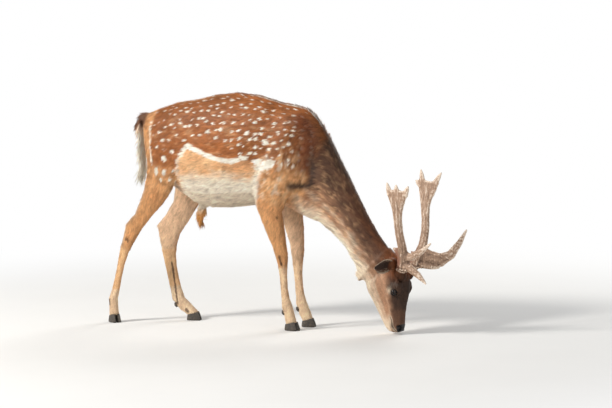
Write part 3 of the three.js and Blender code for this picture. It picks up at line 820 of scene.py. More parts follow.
def trunk_colour(p, n, wide, fine):
    """Chestnut with pale spots and lines, tan on the limbs, darker before the shoulder with painted shade
    along its front fold, pale below.
    """
    z = p[:, 2]
    x, s = barrel_place(p)
    base = Paint("chestnut", len(p))
    shoulder = 0.75 * ease(-110, 20, x) * ease(60, 140, s)
    base.lay("russet", 0.30 + 0.35 * wide + 0.2 * fine + shoulder)
    base.lay("tan", 0.5 * ease(60, 20, s) * ease(-250, -420, x))
    base.lay("tan", ease(-488, -512, x) * ease(650, 590, z + 10 * wide))
    base.lay("tan", ease(-622, -634, x) * 0.9)
    arm = ease(-170, -140, x)
    base.lay("tan", arm * ease(690, 580, z + 20 * wide + 14 * fine) * ease(70, 10, x))
    brindle = lumps(p * (0.5, 1, 1), 11, 10)
    base.lay("russet", 0.45 * ease(0.1, 0.6, brindle))
    base.lay("sand", 0.3 * ease(0.2, 0.7, -brindle) * ease(60, 200, s))
    flecks = ease(-0.05, 0.5, lumps(p * (1, 1, 0.7), 11, 12)) * ease(-170, -120, x)
    base.lay("sand", 0.7 * flecks * ease(210, 280, s))
    grizzle = ease(0.05, 0.5, lumps(p * (1, 1, 0.8), 13, 15)) * arm * ease(-20, -60, x)
    base.lay("cream", 0.6 * grizzle * ease(480, 560, z) * ease(700, 650, z))
    base.lay("spots", spot_mask(p) * (1 - 0.65 * ease(-40, 20, x)))
    line_z = np.interp(x, *zip(*FLANK_LINE))
    front = np.interp(z, [520, 600, 660], [-168, -164, -120])
    barrel = ease(-508, -494, x) * (1 - ease(-8, 10, x - front))
    base.cover(underside(p, x, wide, fine), barrel * ease(4, -4, z - line_z))
    below = ease(-0.35, -0.75, n[:, 2]) * ease(-140, -190, x)
    base.lay("cream", np.maximum(0.8 * below, throat_share(p, n, fine)))
    inner = ease(0.2, 0.6, -n[:, 1] * np.sign(p[:, 1])) * ease(620, 560, z)
    base.lay("cream", 0.45 * inner)
    # Painted shade: darker russet over the shoulder just behind its front fold.
    shade = stroke(x + 30, z, SHOULDER_CREASE, 60, 50) * ease(40, 90, s) * ease(590, 650, z)
    base.lay("russet", 0.85 * shade, (0.72, 0.55, 0.5))
    # Painted shade along the shoulder's front fold.
    base.lay("umber", crease_painted_shade(x, z), 0.6)
    base.lay("spots", pale_marks(p, n, x, fine))
    lay_spine(base, p, x, s, fine)
    return base.colour


def underside(p, x, wide, fine):
    """The lower flank and the belly, paler downwards, with grey painted shade beneath."""
    z = p[:, 2]
    low = Paint("sand", len(p))
    low.lay("chestnut", 0.14 + 0.3 * fine + 0.35 * ease(-330, -190, x) * ease(600, 650, z))
    hairs = lumps(p * (0.4, 1, 1), 9, 6)
    low.lay("belly", ease(634, 570, z + 12 * wide + 12 * fine + 12 * hairs))
    # Grey painted shade along the bottom of the belly.
    low.lay("ash", 0.5 * ease(530, 480, z + 16 * fine + 12 * hairs))
    return low


def pale_marks(p, n, x, fine):
    """1 on the flank, thigh and elbow lines, on their patches and on the haunch stripe."""
    z = p[:, 2]
    rough = 2.2 * fine + 2.4 * lumps(p, 8, 8)
    marks = np.zeros(len(p))
    for line, width, soft, (start, end) in PALE_LINES:
        away, share = line_distance(x, z, line)
        marks = np.maximum(marks, within(away + rough, width, soft) * (start + (end - start) * share))
    for at, up, long, high in PATCHES:
        away = np.hypot((x - at) / long, (z - up) / high)
        marks = np.maximum(marks, 1 - ease(0.75, 1.15, away + 0.14 * rough))
    away, _ = line_distance(x, z, HAUNCH_STRIPE)
    stripe = 1 - ease(2.5, 5.5, away + 0.6 * rough)
    return np.maximum(marks, 0.9 * stripe) * ease(0.15, 0.4, np.abs(n[:, 1]))


def lay_spine(base, p, x, s, fine):
    """The dark stripe down the spine with its border of run-together spots, brown at the tail."""
    back = 0.9 * (1 - ease(9, 19, s + 3 * fine)) * ease(-700, -660, x)
    base.lay("spine", back)
    first, last, down = SPINE_ROW
    row = 1 - ease(2.5, 6.5, np.abs(s - down + 3 * lumps(p, 40, 9)) + 1.4 * fine)
    ends = ease(first - 30, first + 20, x) * (1 - ease(last - 20, last + 10, x))
    base.lay("spots", 0.85 * row * ends)
    base.lay("drab", ease(-664, -690, x) * ease(770, 800, p[:, 2]), 1.5)


# Small dark marks on the right faces of the legs: side, line in forward and up, and width.
LEG_MARKS = [
    (1, [(-616, 230), (-600, 140), (-586, 66)], 5), (1, [(-547, 42), (-541, 36)], 9),
    (-1, [(-811, 90), (-809, 74)], 8), (-1, [(-733, 338), (-724, 332)], 7),
    (-1, [(-78, 290), (-70, 260)], 7), (-1, [(-86, 446), (-85, 444)], 5),
]


def leg_colour(p, n, w, wide, fine):
    """Tan outer sides, paler insides and feet, and small dark marks."""
    base = Paint("tan", len(p))
    base.lay("chestnut", 0.12 + 0.2 * wide + 0.2 * fine)
    outward = n[:, 1] * np.sign(p[:, 1])
    base.lay("cream", ease(0.1, -0.6, outward) * 0.5)
    rear = ease(0.3, 0.9, -n[:, 0]) * w["upper"]
    base.lay("cream", 0.6 * rear)
    base.lay("sand", 0.8 * (w["cannon"] + w["pastern"]), 1.08)
    base.lay("cream", 0.5 * w["pastern"] + 0.4 * w["cannon"] * (p[:, 0] > HIND_HALF))
    base.lay("chestnut", 0.3 * ease(0.4, 0.9, n[:, 0]) * (w["cannon"] + w["upper"]))
    facing = ease(0.3, -0.2, n[:, 1])
    for side, line, width in LEG_MARKS:
        away, _ = line_distance(p[:, 0], p[:, 2], line)
        mark = 1 - ease(width * 0.5, width, away + 1.5 * lumps(p, 6, 14))
        base.lay("umber", 0.8 * mark * facing * (np.sign(p[:, 1]) == side))
    return base.colour


def crease_painted_shade(x, z):
    """Painted shade along the fold in front of the shoulder, fainter towards the withers."""
    return (0.3 + 0.65 * ease(730, 640, z)) * stroke(x, z, SHOULDER_CREASE, 26, 30)


def throat_share(p, n, fine):
    """1 down the throat and over the edge of the brisket."""
    under = ease(0.05, -0.45, n @ NECK_UP + 0.14 * fine)
    return 0.95 * under * ease(-70, 30, p[:, 0]) * ease(610, 560, p[:, 2])


def neck_colour(p, n, wide, fine):
    """Grey-brown and brindled, with pale flecks, a dark crest and a pale throat."""
    x, z = p[:, 0], p[:, 2]
    crest = n @ NECK_UP
    pale = 0.1 + 0.16 * fine + 0.08 * wide + 0.75 * ease(0.35, -0.4, crest)
    base = Paint("drab", len(p))
    base.lay("fawn", pale)
    flecks = ease(0.1, 0.55, lumps(p * (0.8, 1, 0.7), 8, 13))
    base.lay("sand", 0.4 * flecks * ease(330, 160, x))
    base.lay("russet", 0.5 * ease(80, 30, x + 14 * fine))
    # Painted shade along the shoulder's front fold.
    base.lay("umber", crease_painted_shade(x, z), 0.6)
    base.lay("umber", (0.6 + 0.2 * ease(220, 330, x)) * ease(0.0, 0.6, crest))
    base.lay("rust", 0.4 * ease(0.1, 0.8, crest) * ease(120, 330, x))
    base.lay("cream", throat_share(p, n, fine))
    base.lay("spots", 0.7 * ease(-0.5, -0.8, crest) * ease(60, 160, x))
    return base.colour


def head_colour(p, n, fine, neck):
    """Pale cheeks and jaw, a dark bridge and forehead deepened by painted shade, painted shade below the eye,
    light lids with a patch behind the eye that is partly a painted highlight, and light lips.
    """
    h = to_head(p)
    m = turned(n, -HEAD_TURN)
    x, _, z = h.T
    face = Paint("cheek", len(p))
    face.lay("drab", 0.1 + 0.2 * fine + 0.3 * ease(366, 392, x))
    face.lay("cream", 0.9 * ease(-0.05, 0.5, -m[:, 0]))
    # The face front's own dark colour, made darker still and carried back towards the ear by painted shade.
    front = ease(364, 388, x + 7 * fine + 0.1 * np.clip(z - 100, 0, 120))
    face.lay("umber", 0.94 * front * ease(30, 52, z), 0.8)
    # Painted shade in a band below the eye, down towards the muzzle.
    face.lay("umber", 0.5 * stroke(x, z, [(402, 150), (392, 110), (394, 76)], 12, 26))
    # A light patch behind each eye: partly the coat's own pale ring, partly a painted highlight.
    for side in (-1, 1):
        d = h - mirrored(EYE, side)
        pale_and_lit_patch = np.exp(-(np.linalg.norm((d - (-20, 0, 5)) / (11, 30, 12), axis=1)) ** 2)
        face.lay("cream", 0.85 * pale_and_lit_patch)
    lips, share = line_distance(x, z, MOUTH)
    face.lay("drab", 0.75 * ease(368, 384, x) * ease(112, 84, z), 1.15)
    face.lay("cream", 0.6 * (1 - ease(3, 9, lips)) * ease(90, 60, z))
    face.lay("cream", 0.85 * ease(374, 360, x) * ease(80, 40, z))
    blotch = np.exp(-(lips / 9) ** 2 - ((share - 0.5) / 0.16) ** 2)
    face.lay("umber", 0.8 * blotch)
    return blend(face.colour, neck, ease(205, 285, z + 0.45 * (330 - x)))


def bare_skin(p):
    """1 on the nose pad, lips and lid rims, where no hair grows."""
    h = to_head(p)
    x, y, z = h.T
    pad = ease(46, 40, z + 0.3 * (415 - x)) * ease(391, 396, x + 1.5 * lumps(p, 5, 61))
    lips, _ = line_distance(x, z, MOUTH)
    bare = np.maximum(pad, 0.85 * (1 - ease(0.6, 2.6, lips)) * ease(78, 62, z))
    for side in (-1, 1):
        _, reach, u, v, ahead = eye_place(h, side, EYE_BALL)
        rim = ease(-3.4, -1.6, eye_opening(u, v)) * (reach < 26) * (ahead > 0)
        gland = 0.8 * stroke(x, z, TEAR_GLAND, 3.5, 4) * (np.sign(y) == side)
        bare = np.maximum(bare, np.maximum(rim, gland))
    return bare


def ear_colour(p, n, fine):
    """Grey-brown backs, a dark hollow and a pale rim."""
    h = to_head(p)
    along, _, rim = ear_place(h)
    facing = turned(n, -HEAD_TURN)
    hollow = ease(0.0, 0.5, facing[:, 0] * EAR_OPEN[0] + facing[:, 2] * EAR_OPEN[2])
    base = Paint("drab", len(p))
    base.lay("umber", 0.35 + 0.3 * fine)
    inside = Paint("umber", len(p), 0.6)
    inside.lay("drab", 0.8 * ease(0.35, 0.8, rim))
    base.cover(inside, hollow)
    base.lay("cream", 0.85 * ease(0.74, 0.95, rim) * ease(0.15, 0.3, along))
    base.lay("rust", 0.6 * ease(0.22, 0.05, along))
    return base.colour


def tail_colour(p, n):
    """Brown on top, tan at the sides above and white below and beneath."""
    x, z = p[:, 0], p[:, 2]
    aside = np.abs(p[:, 1])
    base = Paint("tan", len(p))
    base.lay("spots", ease(712, 660, z - 0.8 * (x + 700)))
    stripe = (1 - ease(5, 11, aside)) * ease(640, 720, z)
    top = ease(758, 792, z)
    base.lay("spine", 0.9 * stripe)
    base.lay("drab", top, 1.5)
    base.lay("spots", ease(0.2, 0.7, n[:, 0]) * (1 - top))
    return base.colour


def sheath_colour(p):
    # Grey painted shade over the top of the sheath, above its brush of hair.
    base = Paint("ash", len(p))
    base.lay("brush", ease(470, 446, p[:, 2]))
    return base.colour


# ---------------------------------------------------------------- the lie of the coat

def lie_of_coat(p, n, w):
    """The way hair points at each place, along the surface."""
    x, y, z = p.T

    def way(forward, left, up):
        return np.stack([part + 0 * x for part in (forward, left, up)], axis=1)

    side = np.sign(y)
    thigh = ease(-500, -600, x)
    arm = ease(-130, -20, x) * ease(820, 700, z)
    wisp = np.maximum(ease(690, 640, z), ease(780, 815, z)) * w["tail"]
    _, across, rim = ear_place(to_head(p))
    over = EAR_ACROSS * mirror_right(y) * np.sign(across)[:, None]
    ways = [
        (way(-1, 0.15 * side * ease(0.5, 0.95, n[:, 2]), -0.32 - 1.3 * thigh - 1.1 * arm), w["trunk"]),
        (way(-0.80, 0, 0.55 - 1.1 * ease(120, 20, x)), w["neck"]),
        (turned(way(-0.35, 0.15 * side, 1), HEAD_TURN), w["head"]),
        (turned(way(0, side, 0) + 0.9 * over * (rim * rim)[:, None], HEAD_TURN), w["ear"]),
        (way(-0.3 - 1.5 * wisp, 0.3 * side, -1), w["tail"] + w["sheath"]),
        (way(-0.25, 0, -1), leg_share(w)),
    ]
    return along_surface(sum(hair * share[:, None] for hair, share in ways), n)


def along_surface(ways, n):
    return unit(ways - n * np.sum(ways * n, axis=1, keepdims=True))


# ---------------------------------------------------------------- the skin

# The tail's flesh is slimmer than its solid, and the sheath's is shorter. Long hair fills the rest.
TAIL_SLIM, TAIL_ROOT = 0.42, -701
SHEATH_SHORT, SHEATH_TOP, SHEATH_AXIS = 0.36, 470, (-451, 0)


class Skin:
    """What the coat needs to know of the finished skin."""

    points = normal = way = bare = weights = triangles = uv = None


def region_weights(mesh, tree, owners):
    """How far each vertex belongs to each region, and to each leg."""
    co = coordinates(mesh)
    found = [owners[tree.find_nearest(point)[2]] for point in co]
    names = {"gaskin": "upper", "forearm": "upper", "right": "ear", "left": "ear"}
    regions = [names.get(n.split("_")[-1], n.split("_")[-1]) for n in found]
    legs = ["_".join(n.split("_")[:2]) for n in found]
    web = Web(mesh)
    weights = {r: web.spread(np.array([k == r for k in regions], float), 5) for r in REGIONS}
    return weights, {leg: np.array([k == leg for k in legs], float) for leg in LEGS}, web


def flesh_tree():
    """A tree of the flesh nodes' faces, and the node that each face belongs to."""
    points, faces, owners = [], [], []
    for name in FLESH:
        mesh = NODES[name].data
        start = len(points)
        points += [v.co.copy() for v in mesh.vertices]
        faces += [[start + i for i in poly.vertices] for poly in mesh.polygons]
        owners += [name] * len(mesh.polygons)
    return BVHTree.FromPolygons(points, faces), owners


def thinned(obj, keep, faces):
    """Fewer faces, with the most kept where `keep` is high."""
    mesh = obj.data
    group = obj.vertex_groups.new(name="keep")
    levels = np.round(np.clip(keep, 0, 1) * 4) / 4
    for level in np.unique(levels):
        group.add(np.flatnonzero(levels == level).tolist(), float(level), "REPLACE")
    now = sum(len(poly.vertices) - 2 for poly in mesh.polygons)
    modifier = obj.modifiers.new("thinned", "DECIMATE")
    modifier.ratio = min(1.0, faces / now)
    modifier.vertex_group = group.name
    modifier.invert_vertex_group = True
    modifier.vertex_group_factor = 2.0
    modifier.use_collapse_triangulate = True
    mesh = with_modifiers(obj)
    obj.vertex_groups.clear()
    return mesh


def refine_face(mesh):
    """Splits the faces round the eyes and over the muzzle, for clean lids, lips and nostrils."""
    bm = bmesh.new()
    bm.from_mesh(mesh)
    centres = [head_spot(mirrored(EYE, side)) for side in (-1, 1)]
    muzzle = head_spot(MUZZLE)
    for eye_span, muzzle_span in ((0.027, 0.052), (0.021, 0.0)):
        near = []
        for edge in bm.edges:
            at = edge.verts[0].co
            if min((at - c).length for c in centres) < eye_span or (at - muzzle).length < muzzle_span:
                near.append(edge)
        bmesh.ops.subdivide_edges(bm, edges=near, cuts=1, use_grid_fill=True)
    bmesh.ops.triangulate(bm, faces=bm.faces)
    bm.to_mesh(mesh)
    bm.free()


def settle(mesh, web, middle, near, far, times):
    """Smooths the skin within `near` millimetres of a place, and less out to `far`."""
    co = coordinates(mesh)
    share = 1 - ease(near, far, np.linalg.norm(to_animal(co) - middle, axis=1))
    for _ in range(times):
        co += 0.6 * share[:, None] * (web.mean(co) - co)
    set_points(mesh, co)


def make_skin(sizes):
    """The skin: the flesh as one smooth mesh, drawn in by the depth of the coat and shaped."""
    obj = merged_copy("deer_skin", FLESH + list(DEWCLAW_SEAT) + ["eye_right", "eye_left"], 0.00035)
    mesh = remeshed(obj, sizes.skin_grain)
    tree, owners = flesh_tree()
    weights, _, web = region_weights(mesh, tree, owners)
    face = weights["head"] * ease(285, 335, to_animal(coordinates(mesh))[:, 0])
    gentle = np.clip(weights["ear"] + 0.6 * face, 0, 1)
    set_points(mesh, web.smooth(coordinates(mesh), times=28, strength=1 - 0.85 * gentle))
    keep = np.clip(weights["head"] + weights["ear"] + 0.7 * (weights["cannon"] + weights["pastern"]), 0, 1)
    settle(mesh, web, LARYNX, near=36, far=76, times=130)
    mesh = thinned(obj, keep, sizes.skin_faces)
    refine_face(mesh)
    weights, legs, web = region_weights(mesh, tree, owners)
    for side in (-1, 1):
        settle(mesh, web, from_head(mirrored(NOSTRIL, side)[None])[0], near=9, far=20, times=30)
    set_points(mesh, web.smooth(coordinates(mesh), times=4, strength=1 - 0.9 * weights["ear"]))
    p, n = to_animal(coordinates(mesh)), normals(mesh)
    h, m = to_head(p), turned(n, -HEAD_TURN)
    depth = sum(weights[r] * COAT[r][0] for r in REGIONS)
    rise = barrel_relief(p, n, weights) + leg_relief(p, weights, legs)
    rise += face_relief(h, m) * weights["head"]
    p = p + web.spread(n * (rise - depth)[:, None], 2)
    slim = TAIL_SLIM * ease(800, 770, p[:, 2]) * weights["tail"]
    p[:, 0] -= slim * (p[:, 0] - TAIL_ROOT)
    short = SHEATH_SHORT * weights["sheath"]
    p[:, 2] -= short * np.minimum(p[:, 2] - SHEATH_TOP, 0)
    p[:, :2] += short[:, None] * (p[:, :2] - SHEATH_AXIS)
    p = from_head(shape_eyes(to_head(p), EYE_BALL))
    set_points(mesh, to_row(p))
    shade_smooth(mesh)
    return obj, weights, web


def unwrap(obj):
    """An unwrap of the skin's own shape, which the coat shares."""
    bpy.context.view_layer.objects.active = obj
    obj.select_set(True)
    obj.data.uv_layers.new(name="OFBake")
    bpy.ops.object.mode_set(mode="EDIT")
    bpy.ops.mesh.select_all(action="SELECT")
    bpy.ops.uv.smart_project(angle_limit=math.radians(66), island_margin=0.003, scale_to_bounds=True)
    bpy.ops.object.mode_set(mode="OBJECT")
    obj.select_set(False)


def learn_skin(obj, weights, web):
    """Paints the skin, and keeps what the coat needs to know of it."""
    mesh = obj.data
    p, n = to_animal(coordinates(mesh)), normals(mesh)
    Skin.points, Skin.normal, Skin.weights = p, unit(web.spread(n, 2)), weights
    way = lie_of_coat(p, Skin.normal, weights)
    for _ in range(4):
        way = along_surface(web.spread(way, 8), Skin.normal)
    swirl = 0.30 * lumps(p, 60, 31) + 0.16 * lumps(p, 22, 32)
    Skin.way = along_surface(way + swirl[:, None] * np.cross(Skin.normal, way), Skin.normal)
    Skin.bare = bare_skin(p) * np.clip(weights["head"] * 1.5, 0, 1)
    for node, seat in DEWCLAW_SEAT.items():
        low, high = (to_animal(np.array(corner + seat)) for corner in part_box(node))
        reach = np.linalg.norm((p - (low + high) / 2) / (high - low) * 2, axis=1)
        Skin.bare = np.maximum(Skin.bare, ease(1.3, 1.1, reach))
    colour = blend(coat_colour(p, Skin.normal, weights), tone("black"), Skin.bare)
    set_colour(mesh, "coat", colour * 0.9)
    set_value(mesh, "bare", Skin.bare)
    Skin.triangles = read(mesh.polygons, "vertices", 3, np.int32)
    Skin.uv = read(mesh.uv_layers["OFBake"].data, "uv", 2).reshape(-1, 3, 2)


def skin_material():
    make = Maker("deer_skin")
    colour, bare = make.attribute("coat", "Color"), make.attribute("bare")
    hairs = make.noise(make.place((0.35, 1, 1)), 700, 3)
    grain = make.noise(make.place(), 260, 4)
    shade = make.tinted(colour, hairs * 0.5 + 0.75)
    bump = make.bump(hairs * (1 - bare) + grain * bare, 0.0008, 0.6)
    return make.finish(
        {"Specular IOR Level": 0.28},
        Base_Color=shade, Roughness=(1 - bare) * 0.72 + bare * 0.34, Normal=bump)


# ---------------------------------------------------------------- tufts

SEED = 7
LASHES = 40  # on each upper lid
LOCK = 16  # tufts drawn together, on average
TUFT_PATCH = 0.0015  # half of a tuft's patch on the shared unwrap
SINK = 0.3  # millimetres by which a root lies under the skin
RIDGE = 0.22  # height of a tuft's ridge for its width
TAPER = 0.25  # share of the width that a tuft loses before its tip
# Rings in each tuft, and how far its end droops for its length.
SHORT_HAIR = (1, 0)
LOOSE_HAIR = {"coat_tail": (3, 0.25), "coat_sheath": (3, 0.15)}
RUMP_END, SHOULDER_START = -500, -190  # where one piece of the trunk's coat meets the next


class Tufts:
    """Roots of tufts scattered over the skin, each with its own length, width, lift and colour."""

    def __init__(self, fullness):
        rng = np.random.default_rng(SEED)
        tri = Skin.triangles
        a, b, c = (Skin.points[tri[:, k]] for k in range(3))
        area = np.linalg.norm(np.cross(b - a, c - a), axis=1) / 200  # square centimetres
        per_vertex = sum(Skin.weights[r] * COAT[r][3] for r in REGIONS) * (1 - np.clip(Skin.bare * 2, 0, 1))
        per_face = per_vertex[tri].mean(axis=1) * area * fullness
        edges = np.cumsum(per_face)
        total = int(edges[-1])
        drawn = (np.arange(total) + rng.uniform(0, 1, total)) * (edges[-1] / total)
        self.face = np.minimum(np.searchsorted(edges, drawn), len(tri) - 1)
        r1, r2 = np.sqrt(rng.uniform(0, 1, total)), rng.uniform(0, 1, total)
        self.share = np.stack([1 - r1, r1 * (1 - r2), r1 * r2], axis=1)
        self.corner = tri[self.face]
        self.root = self.at(Skin.points)
        self.normal = unit(self.at(Skin.normal))
        self.way = along_surface(self.at(Skin.way), self.normal)
        self.weights = {r: self.at(Skin.weights[r]) for r in REGIONS}
        depth, length, width = (sum(self.weights[r] * COAT[r][k] for r in REGIONS) for k in range(3))
        self.uv = np.sum(Skin.uv[self.face] * self.share[:, :, None], axis=1)
        vary = rng.uniform(0, 1, (total, 4))
        self.length = length * (0.65 + 0.6 * vary[:, 0])
        self.width = width * (0.75 + 0.5 * vary[:, 1])
        self.lift = depth * (0.35 + 0.75 * vary[:, 2])
        turn = (vary[:, 3] - 0.5) * 0.5
        self.way = unit(self.way + turn[:, None] * np.cross(self.normal, self.way))
        self.rng = rng

    def at(self, values):
        corners = values[self.corner]
        share = self.share if corners.ndim == 2 else self.share[:, :, None]
        return np.sum(corners * share, axis=1)

    def shape_by_place(self):
        """Longer, shorter and rougher places of the coat."""
        p, n, w = self.root, self.normal, self.weights
        h = to_head(p)
        _, _, rim = ear_place(h)
        self.scale(w["head"] * ease(150, 60, h[:, 2]), length=-0.5, width=-0.35, lift=-0.45)
        self.scale(poll_share(h) * (w["head"] + w["neck"]), length=0.7, width=0.3, lift=1.3)
        self.scale(w["neck"] * ease(120, 340, p[:, 0]), length=-0.45, width=-0.35, lift=-0.5)
        self.scale(w["neck"] * ease(0.3, 0.9, -(n @ NECK_UP)), length=0.25)
        self.scale(w["neck"] * ease(0.5, 0.95, n @ NECK_UP), length=0.15, lift=0.35)
        self.scale(w["trunk"] * ease(-0.2, -0.8, n[:, 2]), length=0.2, lift=0.1)
        self.scale(w["trunk"] * (1 - ease(14, 40, barrel_place(p)[1])), length=0.1, lift=0.35)
        self.scale(w["ear"] * ease(0.7, 0.95, rim), length=0.5, lift=0.6)
        self.scale(w["tail"] * ease(760, 640, p[:, 2]), length=0.5, lift=0.6)
        self.scale(w["sheath"] * ease(480, 430, p[:, 2]), length=0.6, lift=2.2)

    def scale(self, share, length=0.0, width=0.0, lift=0.0):
        """Makes tufts longer, wider and higher by these shares, where `share` is 1."""
        share = np.clip(share, 0, 1)
        self.length *= 1 + length * share
        self.width *= 1 + width * share
        self.lift *= 1 + lift * share

    def gather_locks(self):
        """Draws the tips of neighbouring tufts together into locks, each a little lighter or darker."""
        total = len(self.root)
        leaders = self.rng.choice(total, total // LOCK, replace=False)
        tree = KDTree(len(leaders))
        for k, leader in enumerate(leaders):
            tree.insert(self.root[leader], k)
        tree.balance()
        lock = np.array([tree.find(root)[1] for root in self.root])
        tips = self.root + self.way * self.length[:, None]
        pull = 0.5 - 0.3 * np.clip(self.weights["head"] + self.weights["ear"], 0, 1)
        tips += (tips[leaders[lock]] - tips) * pull[:, None]
        self.way = along_surface(tips - self.root, self.normal)
        self.lift *= 0.8 + 0.4 * self.rng.uniform(0, 1, len(leaders))[lock]
        self.lock_shade = 0.88 + 0.24 * self.rng.uniform(0, 1, len(leaders))[lock]

    def paint(self):
        """The coat's colour two thirds along each tuft, brindled along the lie of the coat."""
        w = self.weights
        brindle = streaks(self.root, self.way, 7, 51) * (0.2 + 0.22 * w["neck"] + 0.05 * w["trunk"])
        shade = self.lock_shade * (0.84 + 0.32 * self.rng.uniform(0, 1, len(self.root)) + brindle)
        middle = self.root + self.way * (0.65 * self.length)[:, None]
        self.colour = coat_colour(middle, self.normal, w) * shade[:, None]
        self.line_ears()

    def line_ears(self):
        """Long pale hairs from the front edge of each ear, over its hollow."""
        h = to_head(self.root)
        _, _, rim = ear_place(h)
        hollow = turned(self.normal, -HEAD_TURN) @ EAR_OPEN > 0.1
        edge = hollow & (self.weights["ear"] > 0.5) & (rim > 0.45)
        pale = edge & (self.rng.uniform(0, 1, len(h)) < 0.16 + 0.5 * (rim > 0.75))
        self.colour[pale] = tone("cream") * 0.6
        self.length[pale] *= 1.7
        self.width[pale] *= 0.6
        self.lift[pale] *= 1.6

    def add_lashes(self, count):
        """Black lashes along the upper lids, with the hair of the head."""
        for side in (-1, 1):
            out, slit, across = eye_axes(side)
            up = across * np.sign(across[0])
            u = np.linspace(-11.5, 9.5, count) + self.rng.uniform(-0.3, 0.3, count)
            v = LID_HIGH * np.sqrt(1 - (u / LID_LONG) ** 2) + 0.8
            ray = unit(out + np.tan(u / EYE_BALL)[:, None] * slit + np.tan(v / EYE_BALL)[:, None] * up)
            root = from_head(mirrored(EYE, side) + ray * (EYE_BALL + 1.2))
            way = turned(unit(0.8 * ray + 0.5 * up + 0.03 * u[:, None] * slit), HEAD_TURN)
            nearest = [np.argmin(np.linalg.norm(self.root - place, axis=1)) for place in root]
            added = {
                "root": root, "way": way, "normal": along_surface(turned(up[None], HEAD_TURN), way),
                "uv": self.uv[nearest], "colour": np.tile(tone("black"), (count, 1)),
                "length": 9 * self.rng.uniform(0.75, 1.1, count) * (1 - 0.4 * (u / LID_LONG) ** 2),
                "width": np.full(count, 0.8), "lift": np.full(count, 2.5),
            }
            for name, values in added.items():
                setattr(self, name, np.concatenate([getattr(self, name), values]))
            for region in REGIONS:
                share = np.full(count, float(region == "head"))
                self.weights[region] = np.concatenate([self.weights[region], share])

    def mesh(self, name, chosen, rings, droop):
        """One joined mesh of closed tufts: `rings` three-sided rings and a tip each."""
        count = len(chosen)
        root, normal, way = self.root[chosen], self.normal[chosen], self.way[chosen]
        over = np.cross(normal, way)
        length, width, lift = self.length[chosen], self.width[chosen], self.lift[chosen]
        blocks = []
        for k in range(rings + 1):
            share = k / rings
            centre = root + way * (length * share)[:, None] + normal * (lift * share ** 1.2 - SINK)[:, None]
            centre[:, 2] -= droop * length * share ** 2
            if k == rings:
                blocks.append(centre[:, None])
                break
            girth = 1 - TAPER * share
            half = (width * girth / 2)[:, None]
            ridge = normal * (width * RIDGE * girth)[:, None]
            blocks.append(np.stack([centre - over * half, centre + over * half, centre + ridge], axis=1))
        points = np.concatenate(blocks, axis=1)
        size = points.shape[1]
        faces = [[0, 2, 1]]
        for k in range(rings - 1):
            low, high = 3 * k, 3 * k + 3
            for i, j in ((0, 1), (1, 2), (2, 0)):
                faces += [[low + i, low + j, high + j], [low + i, high + j, high + i]]
        last = 3 * (rings - 1)
        faces += [[last, last + 1, size - 1], [last + 1, last + 2, size - 1], [last + 2, last, size - 1]]
        faces = np.array(faces)
        index = (np.arange(count)[:, None, None] * size + faces[None]).reshape(-1, 3)
        mesh = bpy.data.meshes.new(name)
        mesh.vertices.add(count * size)
        mesh.loops.add(len(index) * 3)
        mesh.polygons.add(len(index))
        mesh.polygons.foreach_set("loop_start", np.arange(len(index), dtype=np.int32) * 3)
        mesh.loops.foreach_set("vertex_index", index.astype(np.int32).ravel())
        set_points(mesh, to_row(points.reshape(-1, 3)))
        mesh.update(calc_edges=True)
        self.dress(mesh, chosen, size, index)
        return mesh

    def dress(self, mesh, chosen, size, index):
        """Gives tufts their unwrap, colour with painted shade towards the roots, and shading; short ones are
        shaded like the skin under them.
        """
        count = len(chosen)
        shade_smooth(mesh)
        around = np.array([(-1, -1), (1, -1), (0, 0)] * ((size - 1) // 3) + [(0, 1)]) * TUFT_PATCH
        uv = (self.uv[chosen][:, None] + around[None]).reshape(-1, 2)
        layer = mesh.uv_layers.new(name="OFBake")
        layer.data.foreach_set("uv", uv[index.ravel()].astype(np.float32).ravel())
        share = np.arange(size) // 3 / ((size - 1) // 3)
        # Painted shade down in the coat: each tuft darker at its root, lighter at its tip.
        colours = self.colour[chosen][:, None] * (0.8 + 0.32 * share)[None, :, None]
        set_colour(mesh, "coat", np.clip(colours, 0, 1).reshape(-1, 3))
        leaning = normals(mesh).reshape(count, size, 3)
        loose = np.clip(self.weights["tail"] + self.weights["sheath"], 0, 1)[chosen][:, None, None]
        soft = (0.72 - 0.6 * loose) * self.normal[chosen][:, None] + (0.28 + 0.6 * loose) * leaning
        mesh.normals_split_custom_set_from_vertices(unit(soft.reshape(-1, 3)))


def coat_pieces(tufts):
    """Which tufts each piece of the coat has."""
    x, y = tufts.root[:, 0], tufts.root[:, 1]
    region = np.array(REGIONS)[np.argmax(np.stack([tufts.weights[r] for r in REGIONS]), axis=0)]
    trunk = region == "trunk"
    flank = trunk & (x >= RUMP_END) & (x < SHOULDER_START)
    legs = np.isin(region, ("upper", "cannon", "pastern"))
    return {
        "coat_rump": trunk & (x < RUMP_END),
        "coat_flank_right": flank & (y < 0),
        "coat_flank_left": flank & (y >= 0),
        "coat_shoulders": trunk & (x >= SHOULDER_START),
        "coat_neck": region == "neck",
        "coat_head": region == "head",
        "coat_ears": region == "ear",
        "coat_forelegs": legs & (x > HIND_HALF),
        "coat_hindlegs": legs & (x <= HIND_HALF),
        "coat_tail": region == "tail",
        "coat_sheath": region == "sheath",
    }


def coat_material():
    make = Maker("deer_coat")
    colour = make.attribute("coat", "Color")
    hairs = make.noise(make.place(), 420, 3)
    shade = make.tinted(colour, hairs * 0.4 + 0.8)
    return make.finish(
        {"Specular IOR Level": 0.28, "Sheen Weight": 0.04},
        Base_Color=shade, Roughness=hairs * 0.2 + 0.42)


# ---------------------------------------------------------------- horn, antlers and eyes

ANTLER_WEB = 6  # millimetres by which the forks are filled out and drawn back, which rounds them
CORNEA_EDGE, CORNEA_RISE = 0.72, 0.05  # shares of the radius at which it starts, and by which it rises


